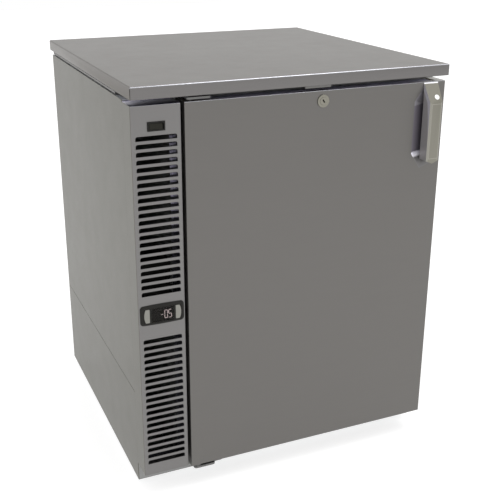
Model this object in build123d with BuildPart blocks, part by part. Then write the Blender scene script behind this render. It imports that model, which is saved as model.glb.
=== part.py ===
from build123d import *
import os

os.makedirs("parts", exist_ok=True)

# An undercounter freezer with one door, in millimetres.
# +Z is up, the door faces -Y, and the origin is on the floor under the middle of the whole object.

# Worktop
worktop_width = 600.0
worktop_depth = 608.0
worktop_thickness = 21.0
worktop_sheet = 1.2
worktop_return = 50.0
worktop_edge_radius = 2.5

# Body
body_height = 755.0
body_setback = 48.5
rear_overhang = 24.0
shadow_gap = 7.0
sheet = 1.0
pan_sheet = 1.5
access_panel_height = 190.0
panel_joint = 0.8
bearer_inset = 10.0
bearer_width = 14.0
bearer_front_inset = 46.0
bearer_strip_inset = 2.0
bearer_strip_gap = 1.5
glide_height = 12.0
glide_radius = 16.0
glide_inset = 48.0
glide_chamfer = 1.5

# Machine side
cover_width = 84.9
duct_width = 88.0
duct_opening_margin = 6.0
duct_opening_height_margin = 50.0
bay_height = 186.0
bay_depth = 188.0
lining_sheet = 1.0

# Insulated box
foam_wall = 49.0
foam_step = 44.0
liner_sheet = 1.2
cavity_floor_height = 72.0
breaker_width = 12.0
breaker_depth = 12.0

# Slotted cover
cover_sheet = 1.2
cover_corner_radius = 2.0
cover_top_gap = 10.0
cover_bottom_height = 37.7
slot_length = 70.6
slot_height = 7.8
slot_pitch = 12.9
slot_corner_radius = 3.4
upper_slots_below_cover_top = 49.5
lower_slots_above_cover_bottom = 23.4
slots_above_controller = 12.0
slots_below_controller = 25.0

# Rocker switch
switch_width = 30.0
switch_height = 15.4
switch_below_cover_top = 34.5
switch_proud = 1.6
switch_frame_width = 1.6
switch_body_depth = 22.0
switch_body_wall = 1.0
rocker_clearance = 0.7
rocker_side_clearance = 1.7
rocker_rest_tilt = -9.0
rocker_pivot_depth = 6.0
rocker_pin_radius = 1.5
rocker_pin_clearance = 0.05
rocker_wing_proud = 1.8
rocker_dip = 0.4
rocker_shoulder = 3.0
rocker_foot_clearance = 1.0

# Controller
controller_width = 79.4
controller_height = 38.0
controller_above_cover_bottom = 322.6
controller_proud = 4.0
controller_crown = 1.0
controller_corner_radius = 6.0
controller_bevel_width = 4.0
controller_bevel_depth = 3.0
controller_body_width = 70.0
controller_body_height = 28.0
controller_body_depth = 52.0
key_height = 25.0
key_width = 9.8
key_inset = 6.3
key_bow = 2.8
key_corner_radius = 1.2
key_depth = 4.6
key_proud = 0.5
key_clearance = 0.4
window_width = 40.0
window_height = 27.0
window_thickness = 1.0
figure_height = 15.6
figure_width = 6.1
figure_stroke = 1.1
figure_gap = 1.1
figure_depth = 0.4
figures_offset = 6.4
figures_drop = 1.1

# Door
door_setback = 3.5
door_side_gap = 6.1
door_right_gap = 4.0
door_bottom_height = 33.7
door_top_gap = 9.3
gasket_space = 6.5
door_edge_radius = 1.5
door_liner_sheet = 1.5
door_rim = 3.0
trim_left_margin = 61.5
trim_right_margin = 74.0
trim_depth = 8.0
trim_recess = 2.0
corner_strip_depth = 7.0
recess_left_margin = 30.0
right_block_width = 17.0
gasket_inset = 10.0
gasket_width = 14.0
gasket_base = 3.0
gasket_head_inset = 2.0
gasket_running_gap = 0.3
dyke_inset = 6.0
dyke_width = 10.0
dyke_height = 4.5

# Hinges
hinge_inset_x = 14.0
hinge_inset_y = 12.0
pin_radius = 4.0
pin_clearance = 0.05
bush_radius = 8.0
bush_length = 25.0
bush_flange_radius = 11.0
bush_flange_gap = 0.3
top_pin_length = 24.0
bottom_pin_reach = 22.0
top_plate_thickness = 4.0
top_plate_left = 9.5
top_plate_right = 34.0
top_plate_front = 10.0
top_plate_depth_on_body = 40.0
bottom_plate_height = 26.4
bottom_plate_thickness = 4.0
bottom_plate_left = 8.0
bottom_plate_right = 34.0
bottom_plate_front = 12.0
bottom_shoulder_right = 50.0
bottom_shoulder_setback = 8.5
bottom_leg_thickness = 4.0
bottom_leg_drop = 16.0
bracket_corner_radius = 5.0
bracket_screw_pitch = 24.0

# Lock
lock_from_left = 344.3
lock_below_door_top = 18.3
lock_flange_radius = 11.2
lock_flange_edge_radius = 0.8
lock_flange_proud = 2.0
lock_barrel_radius = 9.5
lock_barrel_length = 20.0
cylinder_radius = 7.0
cylinder_clearance = 0.05
cylinder_proud = 0.5
cylinder_tail = 0.5
keyhole_length = 7.0
keyhole_width = 2.4
keyhole_depth = 8.0
keyhole_tilt = -30.0
cam_length = 25.0
cam_width = 12.0
cam_thickness = 2.5
cam_room = 1.5
cam_corner_radius = 2.0
cam_slot_left_room = 4.0
strike_left = 308.0
strike_width = 50.0
strike_sheet = 1.5
strike_lip_drop = 4.0
strike_tab_drop = 5.0
strike_front_inset = 2.0
strike_gap = 0.6
strike_back_margin = 12.0

# Handle and pocket
handle_standoff = 22.0
handle_from_door_right = 31.5
handle_top_width = 29.6
handle_width = 26.2
handle_sheet = 2.4
handle_below_door_top = 1.3
handle_slant_drop = 34.4
handle_grip_length = 107.0
handle_tip_drop = 5.5
handle_bevel_width = 3.2
handle_bevel_depth = 1.2
handle_hole_radius = 4.8
handle_hole_side = 4.3
handle_hole_standoff = 15.8
handle_cap_proud = 0.4
pocket_depth = 14.0
pocket_left_reach = 32.0
pocket_apex_reach = 12.8
pocket_right_reach = 10.0
pocket_top_below_handle_top = 6.4
pocket_right_top_above_bend = 17.0
pocket_side_top_above_bend = 1.0
pocket_side_bottom_above_shoulder = 11.0
pocket_right_bottom_below_tip = 4.5
pocket_bottom_below_tip = 12.5
pocket_floor_reach = 3.5
pocket_floor_side = 1.5
pocket_floor_top_below_bend = 5.0
pocket_floor_bottom_above_shoulder = 21.0
pocket_floor_apex = 3.0

# Shelves
shelf_heights = (246.0, 386.0, 526.0)
shelf_side_gap = 2.0
shelf_front_gap = 16.0
shelf_back_gap = 26.0
shelf_rim_radius = 3.0
shelf_wire_radius = 1.7
shelf_wire_pitch = 24.0
pilaster_width = 20.0
pilaster_thickness = 6.0
pilaster_sheet = 1.2
pilaster_bottom_gap = 1.0
pilaster_top_gap = 8.0
pilaster_setback = 70.0
clip_height = 9.0
clip_reach = 14.0
clip_width = 16.0
clip_sheet = 3.0
top_shelf_clearance = 12.0

# Evaporator
evaporator_depth = 112.0
evaporator_height = 122.0
evaporator_side_gap = 4.0
evaporator_sheet = 1.2
evaporator_fan_radius = 52.0
evaporator_fan_gap = 3.0
evaporator_fan_depth = 18.0
evaporator_hub_radius = 14.0
evaporator_motor_radius = 24.0
evaporator_motor_length = 30.0
evaporator_motor_bar_width = 16.0
evaporator_motor_bar_thickness = 3.0
evaporator_fin_count = 24
evaporator_fin_pitch = 11.0
evaporator_fin_thickness = 0.6
evaporator_coil_depth = 42.0
evaporator_coil_height = 74.0
evaporator_tube_radius = 4.0
evaporator_tube_columns = 2
evaporator_tube_rows = 3
guard_wire_radius = 1.4
guard_ring_count = 4
guard_inner_ring_radius = 8.25
guard_ring_pitch = 13.75

# Machine bay
condenser_fin_count = 19
condenser_fin_pitch = 8.0
condenser_fin_thickness = 0.6
condenser_depth = 48.0
condenser_margin = 8.0
condenser_tube_radius = 4.0
condenser_tube_rows = 6
condenser_tube_columns = 2
condenser_tube_top_gap = 4.0
shroud_sheet = 1.5
shroud_top_gap = 3.0
shroud_ring_depth = 22.0
condenser_fan_radius = 70.0
condenser_fan_gap = 4.0
condenser_fan_depth = 18.0
condenser_hub_radius = 18.0
condenser_motor_radius = 30.0
condenser_motor_length = 44.0
motor_post_width = 40.0
motor_post_thickness = 6.0
motor_post_inset = 6.0
fan_motor_gap = 2.0
fan_shaft_radius = 3.0
fan_shaft_clearance = 0.05
fan_blade_count = 5
fan_blade_thickness = 1.6
fan_blade_chord = 21.6
fan_blade_pitch_angle = 32.0
compressor_tray_gap = 20.0
compressor_half_length = 78.0
compressor_half_width = 62.0
compressor_height = 132.0
compressor_dome_radius = 34.0
compressor_seam_height = 70.0
compressor_seam_thickness = 4.0
compressor_seam_width = 3.0
compressor_plate_length = 190.0
compressor_plate_width = 110.0
compressor_plate_thickness = 3.0
grommet_radius = 9.0
grommet_height = 12.0
grommet_hole_radius = 4.0
grommet_inset = 12.0
terminal_box_depth = 26.0
terminal_box_width = 52.0
terminal_box_height = 56.0
terminal_box_sink = 6.0
terminal_box_raise = 8.0
pipe_radius = 4.0
discharge_pipe_radius = 2.4
pipe_bend_radius = 8.0
pipe_wall_gap = 12.0
pipe_outlet_offset = 26.0
pipe_hole_clearance = 0.5
tray_width = 110.0
tray_depth = 150.0
tray_height = 38.0
tray_wall = 1.6
tray_right_gap = 14.0
drain_radius = 7.0
drain_bore_radius = 5.0
drain_corner_gap = 18.0
drain_outlet_drop = 8.0
control_box_depth = 90.0
control_box_height = 120.0
control_box_width = 60.0
control_box_setback = 40.0
control_box_height_above_base = 300.0
control_box_corner_radius = 3.0
inlet_width = 50.0
inlet_height = 28.0
inlet_depth = 26.0
inlet_flange = 2.5
inlet_from_right = 60.0
inlet_height_above_base = 148.0
inlet_recess_width = 25.0
inlet_recess_height = 18.6
inlet_recess_depth = 18.2
inlet_pin_pitch = 7.0
inlet_pin_radius = 1.6
inlet_pin_setback = 2.0
louvre_count = 11
louvre_columns_x = (-165.0, 0.0)
louvre_length = 150.0
louvre_height = 5.0
louvre_pitch = 12.0
screw_head_radius = 4.2
screw_head_height = 2.4
screw_head_taper = 18.0
screw_edge_inset = 14.0
screw_rows = 4

# Planes of the object
left_x = -worktop_width / 2
right_x = worktop_width / 2
handle_proud = handle_standoff - door_setback
overall_depth = worktop_depth + handle_proud
front_y = handle_proud - overall_depth / 2
back_y = overall_depth / 2
base_z = glide_height
top_z = base_z + body_height
worktop_under_z = top_z - worktop_thickness
panel_top_z = worktop_under_z - shadow_gap
deck_under_z = panel_top_z - sheet
body_front_y = front_y + body_setback
body_back_y = back_y - rear_overhang
box_front_y = body_front_y + sheet
box_back_y = body_back_y - sheet
box_left_x = left_x + duct_width
box_right_x = right_x - sheet
pan_top_z = base_z + pan_sheet
bay_front_y = body_back_y - bay_depth
bay_top_z = base_z + bay_height
bay_middle_y = (bay_front_y + body_back_y) / 2

# Cavity planes
foam_left_x = box_left_x + lining_sheet
cavity_left_x = foam_left_x + foam_wall + liner_sheet
cavity_right_x = box_right_x - foam_wall - liner_sheet
cavity_floor_z = base_z + cavity_floor_height
cavity_top_z = deck_under_z - foam_wall - liner_sheet
cavity_back_y = box_back_y - foam_wall - liner_sheet
liner_front_y = body_front_y + breaker_depth
step_front_y = bay_front_y - lining_sheet - foam_step - liner_sheet
step_floor_z = bay_top_z + lining_sheet + foam_step + liner_sheet
opening_left_x = cavity_left_x - breaker_width
opening_right_x = cavity_right_x + breaker_width
opening_bottom_z = cavity_floor_z - breaker_width
opening_top_z = cavity_top_z + breaker_width

# Cover planes
cover_right_x = left_x + cover_width
cover_middle_x = left_x + cover_width / 2
cover_front_y = front_y + door_setback
cover_bottom_z = base_z + cover_bottom_height
cover_top_z = worktop_under_z - cover_top_gap
switch_z = cover_top_z - switch_below_cover_top
controller_z = cover_bottom_z + controller_above_cover_bottom
upper_slots_top_z = cover_top_z - upper_slots_below_cover_top
upper_slots_end_z = controller_z + controller_height / 2 + slots_above_controller
upper_slot_count = int((upper_slots_top_z - upper_slots_end_z - slot_height) / slot_pitch) + 1
lower_slots_bottom_z = cover_bottom_z + lower_slots_above_cover_bottom
lower_slots_end_z = controller_z - controller_height / 2 - slots_below_controller
lower_slot_count = int((lower_slots_end_z - lower_slots_bottom_z - slot_height) / slot_pitch) + 1

# Door planes
door_left_x = cover_right_x + door_side_gap
door_right_x = right_x - door_right_gap
door_front_y = cover_front_y
door_back_y = body_front_y - gasket_space
door_bottom_z = base_z + door_bottom_height
door_top_z = worktop_under_z - door_top_gap
trim_left_x = door_left_x + trim_left_margin
trim_right_x = door_right_x - trim_right_margin
hinge_x = door_left_x + hinge_inset_x
hinge_y = door_front_y + hinge_inset_y
lock_x = left_x + lock_from_left
lock_z = door_top_z - lock_below_door_top
cam_front_y = door_front_y + lock_barrel_length + cylinder_tail
cam_back_y = cam_front_y + cam_thickness

# Handle and pocket planes
handle_x = door_right_x - handle_from_door_right
handle_left_x = handle_x - handle_width / 2
handle_right_x = handle_x + handle_width / 2
handle_front_y = door_front_y - handle_standoff
handle_top_z = door_top_z - handle_below_door_top
handle_bend_z = handle_top_z - handle_slant_drop
handle_shoulder_z = handle_bend_z - handle_grip_length
handle_tip_z = handle_shoulder_z - handle_tip_drop
pocket_left_x = handle_x - pocket_left_reach
pocket_apex_x = handle_x - pocket_apex_reach
pocket_right_x = handle_x + pocket_right_reach
pocket_side_top_z = handle_bend_z + pocket_side_top_above_bend
pocket_side_bottom_z = handle_shoulder_z + pocket_side_bottom_above_shoulder
pocket_floor_left_x = handle_x - pocket_floor_reach
pocket_floor_right_x = pocket_right_x - pocket_floor_side
pocket_floor_middle_x = (pocket_floor_left_x + pocket_floor_right_x) / 2
pocket_floor_top_z = handle_bend_z - pocket_floor_top_below_bend
pocket_floor_bottom_z = handle_shoulder_z + pocket_floor_bottom_above_shoulder


def block(x_range, y_range, z_range, mode=Mode.ADD):
    """A straight-sided block between two opposite corners, in the part that is open."""
    with BuildSketch(Plane.XY.offset(z_range[0])) as outline:
        with Locations(((x_range[0] + x_range[1]) / 2, (y_range[0] + y_range[1]) / 2)):
            Rectangle(x_range[1] - x_range[0], y_range[1] - y_range[0])
    extrude(outline.sketch, amount=z_range[1] - z_range[0], mode=mode)


def rod(start, end, radius, mode=Mode.ADD):
    """A round bar or bore from one point to another."""
    run = Vector(*end) - Vector(*start)
    with BuildSketch(Plane(origin=start, z_dir=run)) as section:
        Circle(radius)
    extrude(section.sketch, amount=run.length, mode=mode)


def pipe(points, radius, bend_radius):
    """A round pipe along straight runs with rounded corners."""
    with BuildLine() as route:
        FilletPolyline(*points, radius=bend_radius)
    with BuildSketch(Plane(origin=route.line @ 0, z_dir=route.line % 0)) as section:
        Circle(radius)
    sweep(section.sketch, path=route.line)


def prism(points, plane, depth, mode=Mode.ADD):
    """A straight extrusion of a polygon drawn on a plane."""
    with BuildSketch(plane) as outline:
        with BuildLine():
            Polyline(*points, close=True)
        make_face()
    extrude(outline.sketch, amount=depth, mode=mode)


def front_plane(y):
    """A plane facing the front, with its own x to the right and its own y up."""
    return Plane(origin=(0, y, 0), x_dir=(1, 0, 0), z_dir=(0, -1, 0))


def fan(radius, hub_radius, depth, bore_radius):
    """A hub with tilted blades around it, trimmed round, on the plane of the open part."""
    blade_length = radius - hub_radius
    with PolarLocations((radius + hub_radius) / 2, fan_blade_count):
        Box(blade_length + hub_radius / 2, fan_blade_chord, fan_blade_thickness,
            rotation=(fan_blade_pitch_angle, 0, 0))
    Cylinder(radius, depth, mode=Mode.INTERSECT)
    Cylinder(hub_radius, depth)
    Cylinder(bore_radius, depth, mode=Mode.SUBTRACT)


def screw_heads(points, direction):
    """Low round screw heads standing on a face, one at each point."""
    for point in points:
        with BuildSketch(Plane(origin=point, z_dir=direction)) as head:
            Circle(screw_head_radius)
        extrude(head.sketch, amount=screw_head_height, taper=screw_head_taper)


# Worktop shell with folded edges and a return underneath
with BuildPart() as worktop:
    block((left_x, right_x), (front_y, back_y), (worktop_under_z, top_z))
    fillet(worktop.edges().group_by(Axis.Z)[-1], worktop_edge_radius)
    block(
        (left_x + worktop_sheet, right_x - worktop_sheet),
        (front_y + worktop_sheet, back_y - worktop_sheet),
        (worktop_under_z + worktop_sheet, top_z - worktop_sheet),
        Mode.SUBTRACT,
    )
    block(
        (left_x + worktop_return, right_x - worktop_return),
        (front_y + worktop_return, back_y - worktop_return),
        (worktop_under_z, worktop_under_z + worktop_sheet),
        Mode.SUBTRACT,
    )
worktop.part.label = "worktop"
export_step(worktop.part, "parts/worktop.step")

# Ring that carries the worktop, with a narrower strip around it that leaves a groove above and below
with BuildPart() as worktop_bearer:
    block(
        (left_x + bearer_inset, right_x - bearer_inset),
        (body_front_y + bearer_front_inset, body_back_y - bearer_inset),
        (panel_top_z, worktop_under_z),
    )
    block(
        (left_x + bearer_strip_inset, right_x - bearer_strip_inset),
        (body_front_y + bearer_front_inset, body_back_y - bearer_strip_inset),
        (panel_top_z + bearer_strip_gap, worktop_under_z - bearer_strip_gap),
    )
    block(
        (left_x + bearer_inset + bearer_width, right_x - bearer_inset - bearer_width),
        (body_front_y + bearer_front_inset + bearer_width, body_back_y - bearer_inset - bearer_width),
        (panel_top_z, worktop_under_z),
        Mode.SUBTRACT,
    )
worktop_bearer.part.label = "worktop_bearer"
export_step(worktop_bearer.part, "parts/worktop_bearer.step")

# Deck over the cabinet
with BuildPart() as top_deck:
    block((left_x + sheet, right_x - sheet), (body_front_y, box_back_y), (deck_under_z, panel_top_z))
top_deck.part.label = "top_deck"
export_step(top_deck.part, "parts/top_deck.step")

# Left side in two panels with a joint between them
with BuildPart() as left_side_panel:
    block(
        (left_x, left_x + sheet),
        (body_front_y, body_back_y),
        (base_z + access_panel_height + panel_joint, panel_top_z),
    )
left_side_panel.part.label = "left_side_panel"
export_step(left_side_panel.part, "parts/left_side_panel.step")

with BuildPart() as left_access_panel:
    block((left_x, left_x + sheet), (body_front_y, body_back_y), (base_z, base_z + access_panel_height))
left_access_panel.part.label = "left_access_panel"
export_step(left_access_panel.part, "parts/left_access_panel.step")

with BuildPart() as right_side_panel:
    block((right_x - sheet, right_x), (body_front_y, body_back_y), (base_z, panel_top_z))
right_side_panel.part.label = "right_side_panel"
export_step(right_side_panel.part, "parts/right_side_panel.step")

with BuildPart() as back_panel:
    block((left_x + sheet, right_x - sheet), (box_back_y, body_back_y), (bay_top_z, panel_top_z))
back_panel.part.label = "back_panel"
export_step(back_panel.part, "parts/back_panel.step")

# Louvred cover of the machine bay, with the cut-out for the mains inlet
inlet_x = right_x - inlet_from_right
inlet_z = base_z + inlet_height_above_base
louvres_bottom_z = base_z + (bay_height - louvre_pitch * (louvre_count - 1)) / 2
with BuildPart() as rear_bay_cover:
    block((left_x + sheet, right_x - sheet), (box_back_y, body_back_y), (base_z, bay_top_z))
    for column_x in louvre_columns_x:
        for row in range(louvre_count):
            louvre_z = louvres_bottom_z + row * louvre_pitch
            block(
                (column_x - louvre_length / 2, column_x + louvre_length / 2),
                (box_back_y, body_back_y),
                (louvre_z - louvre_height / 2, louvre_z + louvre_height / 2),
                Mode.SUBTRACT,
            )
    block(
        (inlet_x - inlet_width / 2, inlet_x + inlet_width / 2),
        (box_back_y, body_back_y),
        (inlet_z - inlet_height / 2, inlet_z + inlet_height / 2),
        Mode.SUBTRACT,
    )
rear_bay_cover.part.label = "rear_bay_cover"
export_step(rear_bay_cover.part, "parts/rear_bay_cover.step")

with BuildPart() as base_pan:
    block((left_x + sheet, right_x - sheet), (box_front_y, box_back_y), (base_z, pan_top_z))
base_pan.part.label = "base_pan"
export_step(base_pan.part, "parts/base_pan.step")

# Four low glides under the base pan
glide_spread_x = worktop_width / 2 - glide_inset
with BuildPart() as glide_feet:
    for glide_y in (body_front_y + glide_inset, body_back_y - glide_inset):
        for glide_x in (-glide_spread_x, glide_spread_x):
            rod((glide_x, glide_y, 0), (glide_x, glide_y, glide_height), glide_radius)
    chamfer(glide_feet.edges().group_by(Axis.Z)[0], glide_chamfer)
glide_feet.part.label = "glide_feet"
export_step(glide_feet.part, "parts/glide_feet.step")

# Front frame: one sheet with the opening of the cavity and the opening of the air duct
with BuildPart() as front_frame:
    block((left_x + sheet, right_x - sheet), (body_front_y, box_front_y), (base_z, deck_under_z))
    block(
        (opening_left_x, opening_right_x),
        (body_front_y, box_front_y),
        (opening_bottom_z, opening_top_z),
        Mode.SUBTRACT,
    )
    block(
        (left_x + sheet + duct_opening_margin, cover_right_x - duct_opening_margin),
        (body_front_y, box_front_y),
        (base_z + duct_opening_height_margin, deck_under_z - duct_opening_margin),
        Mode.SUBTRACT,
    )
front_frame.part.label = "front_frame"
export_step(front_frame.part, "parts/front_frame.step")

# Galvanised lining between the foam and the machine side
with BuildPart() as machine_bay_lining:
    block((box_left_x, foam_left_x), (box_front_y, box_back_y), (pan_top_z, deck_under_z))
    block((box_left_x, foam_left_x), (bay_front_y, box_back_y), (pan_top_z, bay_top_z), Mode.SUBTRACT)
    block(
        (foam_left_x, box_right_x),
        (bay_front_y - lining_sheet, bay_front_y),
        (pan_top_z, bay_top_z + lining_sheet),
    )
    block((foam_left_x, box_right_x), (bay_front_y, box_back_y), (bay_top_z, bay_top_z + lining_sheet))
drain_x = cavity_right_x - drain_corner_gap
drain_y = cavity_back_y - drain_corner_gap
suction_x = cavity_left_x + drain_corner_gap

# The drain and the suction pipe pass from the machine bay up into the cavity
crossings = ((drain_x, drain_radius), (suction_x, pipe_radius + pipe_hole_clearance))


def crossing_holes():
    """Holes through the step of the insulated box for the drain and the suction pipe."""
    for crossing_x, radius in crossings:
        rod((crossing_x, drain_y, bay_top_z), (crossing_x, drain_y, step_floor_z), radius, Mode.SUBTRACT)


with machine_bay_lining:
    crossing_holes()
machine_bay_lining.part.label = "machine_bay_lining"
export_step(machine_bay_lining.part, "parts/machine_bay_lining.step")

# Foam between the outer sheets and the liner, as slabs that meet face to face
liner_left_x = cavity_left_x - liner_sheet
liner_right_x = cavity_right_x + liner_sheet
liner_span = (liner_left_x, liner_right_x)
foam_above_bay = (bay_top_z + lining_sheet, deck_under_z)
foam_below_step = (pan_top_z, bay_top_z + lining_sheet)
foam_front_depth = (box_front_y, bay_front_y - lining_sheet)
with BuildPart() as cabinet_foam:
    block(
        liner_span,
        (step_front_y + liner_sheet, cavity_back_y + liner_sheet),
        (bay_top_z + lining_sheet, step_floor_z - liner_sheet),
    )
    crossing_holes()
cabinet_foam_step = cabinet_foam.part
foam_slabs = (
    ((foam_left_x, liner_left_x), (box_front_y, box_back_y), foam_above_bay),
    ((foam_left_x, liner_left_x), foam_front_depth, foam_below_step),
    ((liner_right_x, box_right_x), (box_front_y, box_back_y), foam_above_bay),
    ((liner_right_x, box_right_x), foam_front_depth, foam_below_step),
    (liner_span, (box_front_y, box_back_y), (cavity_top_z + liner_sheet, deck_under_z)),
    (
        liner_span,
        (cavity_back_y + liner_sheet, box_back_y),
        (bay_top_z + lining_sheet, cavity_top_z + liner_sheet),
    ),
    (liner_span, foam_front_depth, (pan_top_z, cavity_floor_z - liner_sheet)),
    (
        liner_span,
        (step_front_y + liner_sheet, bay_front_y - lining_sheet),
        (cavity_floor_z - liner_sheet, bay_top_z + lining_sheet),
    ),
)
foam_pieces = [cabinet_foam_step]
for slab_x, slab_y, slab_z in foam_slabs:
    with BuildPart() as slab:
        block(slab_x, slab_y, slab_z)
        block(
            (opening_left_x, opening_right_x),
            (box_front_y, liner_front_y),
            (opening_bottom_z, opening_top_z),
            Mode.SUBTRACT,
        )
    foam_pieces.append(slab.part)
cabinet_foam_part = Compound(label="cabinet_foam", children=foam_pieces)
export_step(cabinet_foam_part, "parts/cabinet_foam.step")

# Frame round the mouth of the cavity
with BuildPart() as throat_breaker:
    block(
        (opening_left_x, opening_right_x),
        (body_front_y, liner_front_y),
        (opening_bottom_z, opening_top_z),
    )
    block(
        (cavity_left_x, cavity_right_x),
        (body_front_y, liner_front_y),
        (cavity_floor_z, cavity_top_z),
        Mode.SUBTRACT,
    )
throat_breaker.part.label = "throat_breaker"
export_step(throat_breaker.part, "parts/throat_breaker.step")

# Stepped inner liner, open at the front
with BuildPart() as inner_liner:
    block(
        liner_span,
        (liner_front_y, cavity_back_y + liner_sheet),
        (step_floor_z - liner_sheet, cavity_top_z + liner_sheet),
    )
    block(
        liner_span,
        (liner_front_y, step_front_y + liner_sheet),
        (cavity_floor_z - liner_sheet, step_floor_z - liner_sheet),
    )
    block(
        (cavity_left_x, cavity_right_x),
        (liner_front_y, cavity_back_y),
        (step_floor_z, cavity_top_z),
        Mode.SUBTRACT,
    )
    block(
        (cavity_left_x, cavity_right_x),
        (liner_front_y, step_front_y),
        (cavity_floor_z, step_floor_z),
        Mode.SUBTRACT,
    )
    crossing_holes()
inner_liner.part.label = "inner_liner"
export_step(inner_liner.part, "parts/inner_liner.step")

# Slotted cover in front of the machine side
switch_body_width = switch_width - 2 * switch_frame_width
switch_body_height = switch_height - 2 * switch_frame_width
slot_left_x = cover_middle_x - slot_length / 2
slot_right_x = cover_middle_x + slot_length / 2
left_bend_x = slot_left_x + slot_corner_radius
right_bend_x = slot_right_x - slot_corner_radius
slot_row_heights = [
    upper_slots_top_z - slot_height - row * slot_pitch for row in range(upper_slot_count)
] + [lower_slots_bottom_z + row * slot_pitch for row in range(lower_slot_count)]
with BuildPart() as grille_cover:
    block((left_x, cover_right_x), (cover_front_y, body_front_y), (cover_bottom_z, cover_top_z))
    fillet(grille_cover.edges().filter_by(Axis.Z).sort_by(Axis.Y)[:2], cover_corner_radius)
    block(
        (left_x + cover_sheet, cover_right_x - cover_sheet),
        (cover_front_y + cover_sheet, body_front_y),
        (cover_bottom_z + cover_sheet, cover_top_z - cover_sheet),
        Mode.SUBTRACT,
    )
    with BuildSketch(front_plane(cover_front_y + cover_sheet)) as cover_cuts:
        for slot_z in slot_row_heights:
            slot_top_z = slot_z + slot_height
            bend_z = slot_top_z - slot_corner_radius
            with BuildLine():
                Polyline(
                    (slot_left_x, bend_z),
                    (slot_left_x, slot_z),
                    (slot_right_x, slot_z),
                    (slot_right_x, bend_z),
                )
                RadiusArc((slot_right_x, bend_z), (right_bend_x, slot_top_z), -slot_corner_radius)
                Line((right_bend_x, slot_top_z), (left_bend_x, slot_top_z))
                RadiusArc((left_bend_x, slot_top_z), (slot_left_x, bend_z), -slot_corner_radius)
            make_face()
        with Locations((cover_middle_x, switch_z)):
            Rectangle(switch_body_width, switch_body_height)
        with Locations((cover_middle_x, controller_z)):
            Rectangle(controller_body_width, controller_body_height)
    extrude(cover_cuts.sketch, amount=cover_sheet, mode=Mode.SUBTRACT)
grille_cover.part.label = "grille_cover"
export_step(grille_cover.part, "parts/grille_cover.step")

# Rocker switch: a frame with a hollow body, and the rocker in it
switch_inner_width = switch_body_width - 2 * switch_body_wall
switch_inner_height = switch_body_height - 2 * switch_body_wall
switch_front_y = cover_front_y - switch_proud
rocker_pivot_y = switch_front_y + rocker_pivot_depth
with BuildPart() as switch_housing:
    block(
        (cover_middle_x - switch_width / 2, cover_middle_x + switch_width / 2),
        (switch_front_y, cover_front_y),
        (switch_z - switch_height / 2, switch_z + switch_height / 2),
    )
    block(
        (cover_middle_x - switch_body_width / 2, cover_middle_x + switch_body_width / 2),
        (cover_front_y, cover_front_y + switch_body_depth),
        (switch_z - switch_body_height / 2, switch_z + switch_body_height / 2),
    )
    block(
        (cover_middle_x - switch_inner_width / 2, cover_middle_x + switch_inner_width / 2),
        (switch_front_y, cover_front_y + switch_body_depth - switch_body_wall),
        (switch_z - switch_inner_height / 2, switch_z + switch_inner_height / 2),
        Mode.SUBTRACT,
    )
    rod(
        (cover_middle_x, rocker_pivot_y, switch_z - switch_body_height / 2),
        (cover_middle_x, rocker_pivot_y, switch_z + switch_body_height / 2),
        rocker_pin_radius - rocker_pin_clearance,
    )
switch_housing.part.label = "switch_housing"
export_step(switch_housing.part, "parts/switch_housing.step")

rocker_half_width = switch_inner_width / 2 - rocker_side_clearance
rocker_half_height = switch_inner_height / 2 - rocker_clearance / 2
rocker_wing = -rocker_pivot_depth - rocker_wing_proud
rocker_shoulder_y = -rocker_pivot_depth + rocker_shoulder
rocker_foot_y = rocker_pivot_depth - rocker_foot_clearance
rocker_outline = (
    (-rocker_half_width, rocker_wing),
    (0, -rocker_pivot_depth + rocker_dip),
    (rocker_half_width, rocker_wing),
    (rocker_half_width, rocker_shoulder_y),
    (rocker_half_width / 2, rocker_foot_y),
    (-rocker_half_width / 2, rocker_foot_y),
    (-rocker_half_width, rocker_shoulder_y),
)
rocker_plane = Plane(
    origin=(cover_middle_x, rocker_pivot_y, switch_z - rocker_half_height),
    x_dir=(1, 0, 0),
)
with BuildPart() as switch_rocker:
    prism(rocker_outline, rocker_plane.rotated((0, 0, rocker_rest_tilt)), 2 * rocker_half_height)
    rod(
        (cover_middle_x, rocker_pivot_y, switch_z - switch_height),
        (cover_middle_x, rocker_pivot_y, switch_z + switch_height),
        rocker_pin_radius,
        Mode.SUBTRACT,
    )
switch_rocker.part.label = "switch_rocker"
export_step(switch_rocker.part, "parts/switch_rocker.step")

# Controller: case with a rounded front, two D-shaped keys and a window with lit figures
controller_face_y = cover_front_y - controller_proud
case_left_x = cover_middle_x - controller_width / 2
case_right_x = cover_middle_x + controller_width / 2
case_edge_below_z = controller_z - controller_height / 2 + controller_crown
case_edge_above_z = controller_z + controller_height / 2 - controller_crown
left_key_flat_x = case_left_x + key_inset + key_width
right_key_flat_x = case_right_x - key_inset - key_width


def key_outline(flat_x, side, growth):
    """A key's outline: flat towards the window and bowed towards the end of the case."""
    near_x = flat_x - side * growth
    shoulder_x = flat_x + side * (key_width - key_bow)
    far_x = flat_x + side * (key_width + growth)
    lower_z = controller_z - key_height / 2 - growth
    upper_z = controller_z + key_height / 2 + growth
    with BuildSketch() as key_shape:
        with BuildLine():
            Polyline(
                (shoulder_x, lower_z),
                (near_x, lower_z),
                (near_x, upper_z),
                (shoulder_x, upper_z),
            )
            ThreePointArc((shoulder_x, upper_z), (far_x, controller_z), (shoulder_x, lower_z))
        make_face()
        fillet(key_shape.vertices(), key_corner_radius)
    add(key_shape.sketch)


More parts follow.
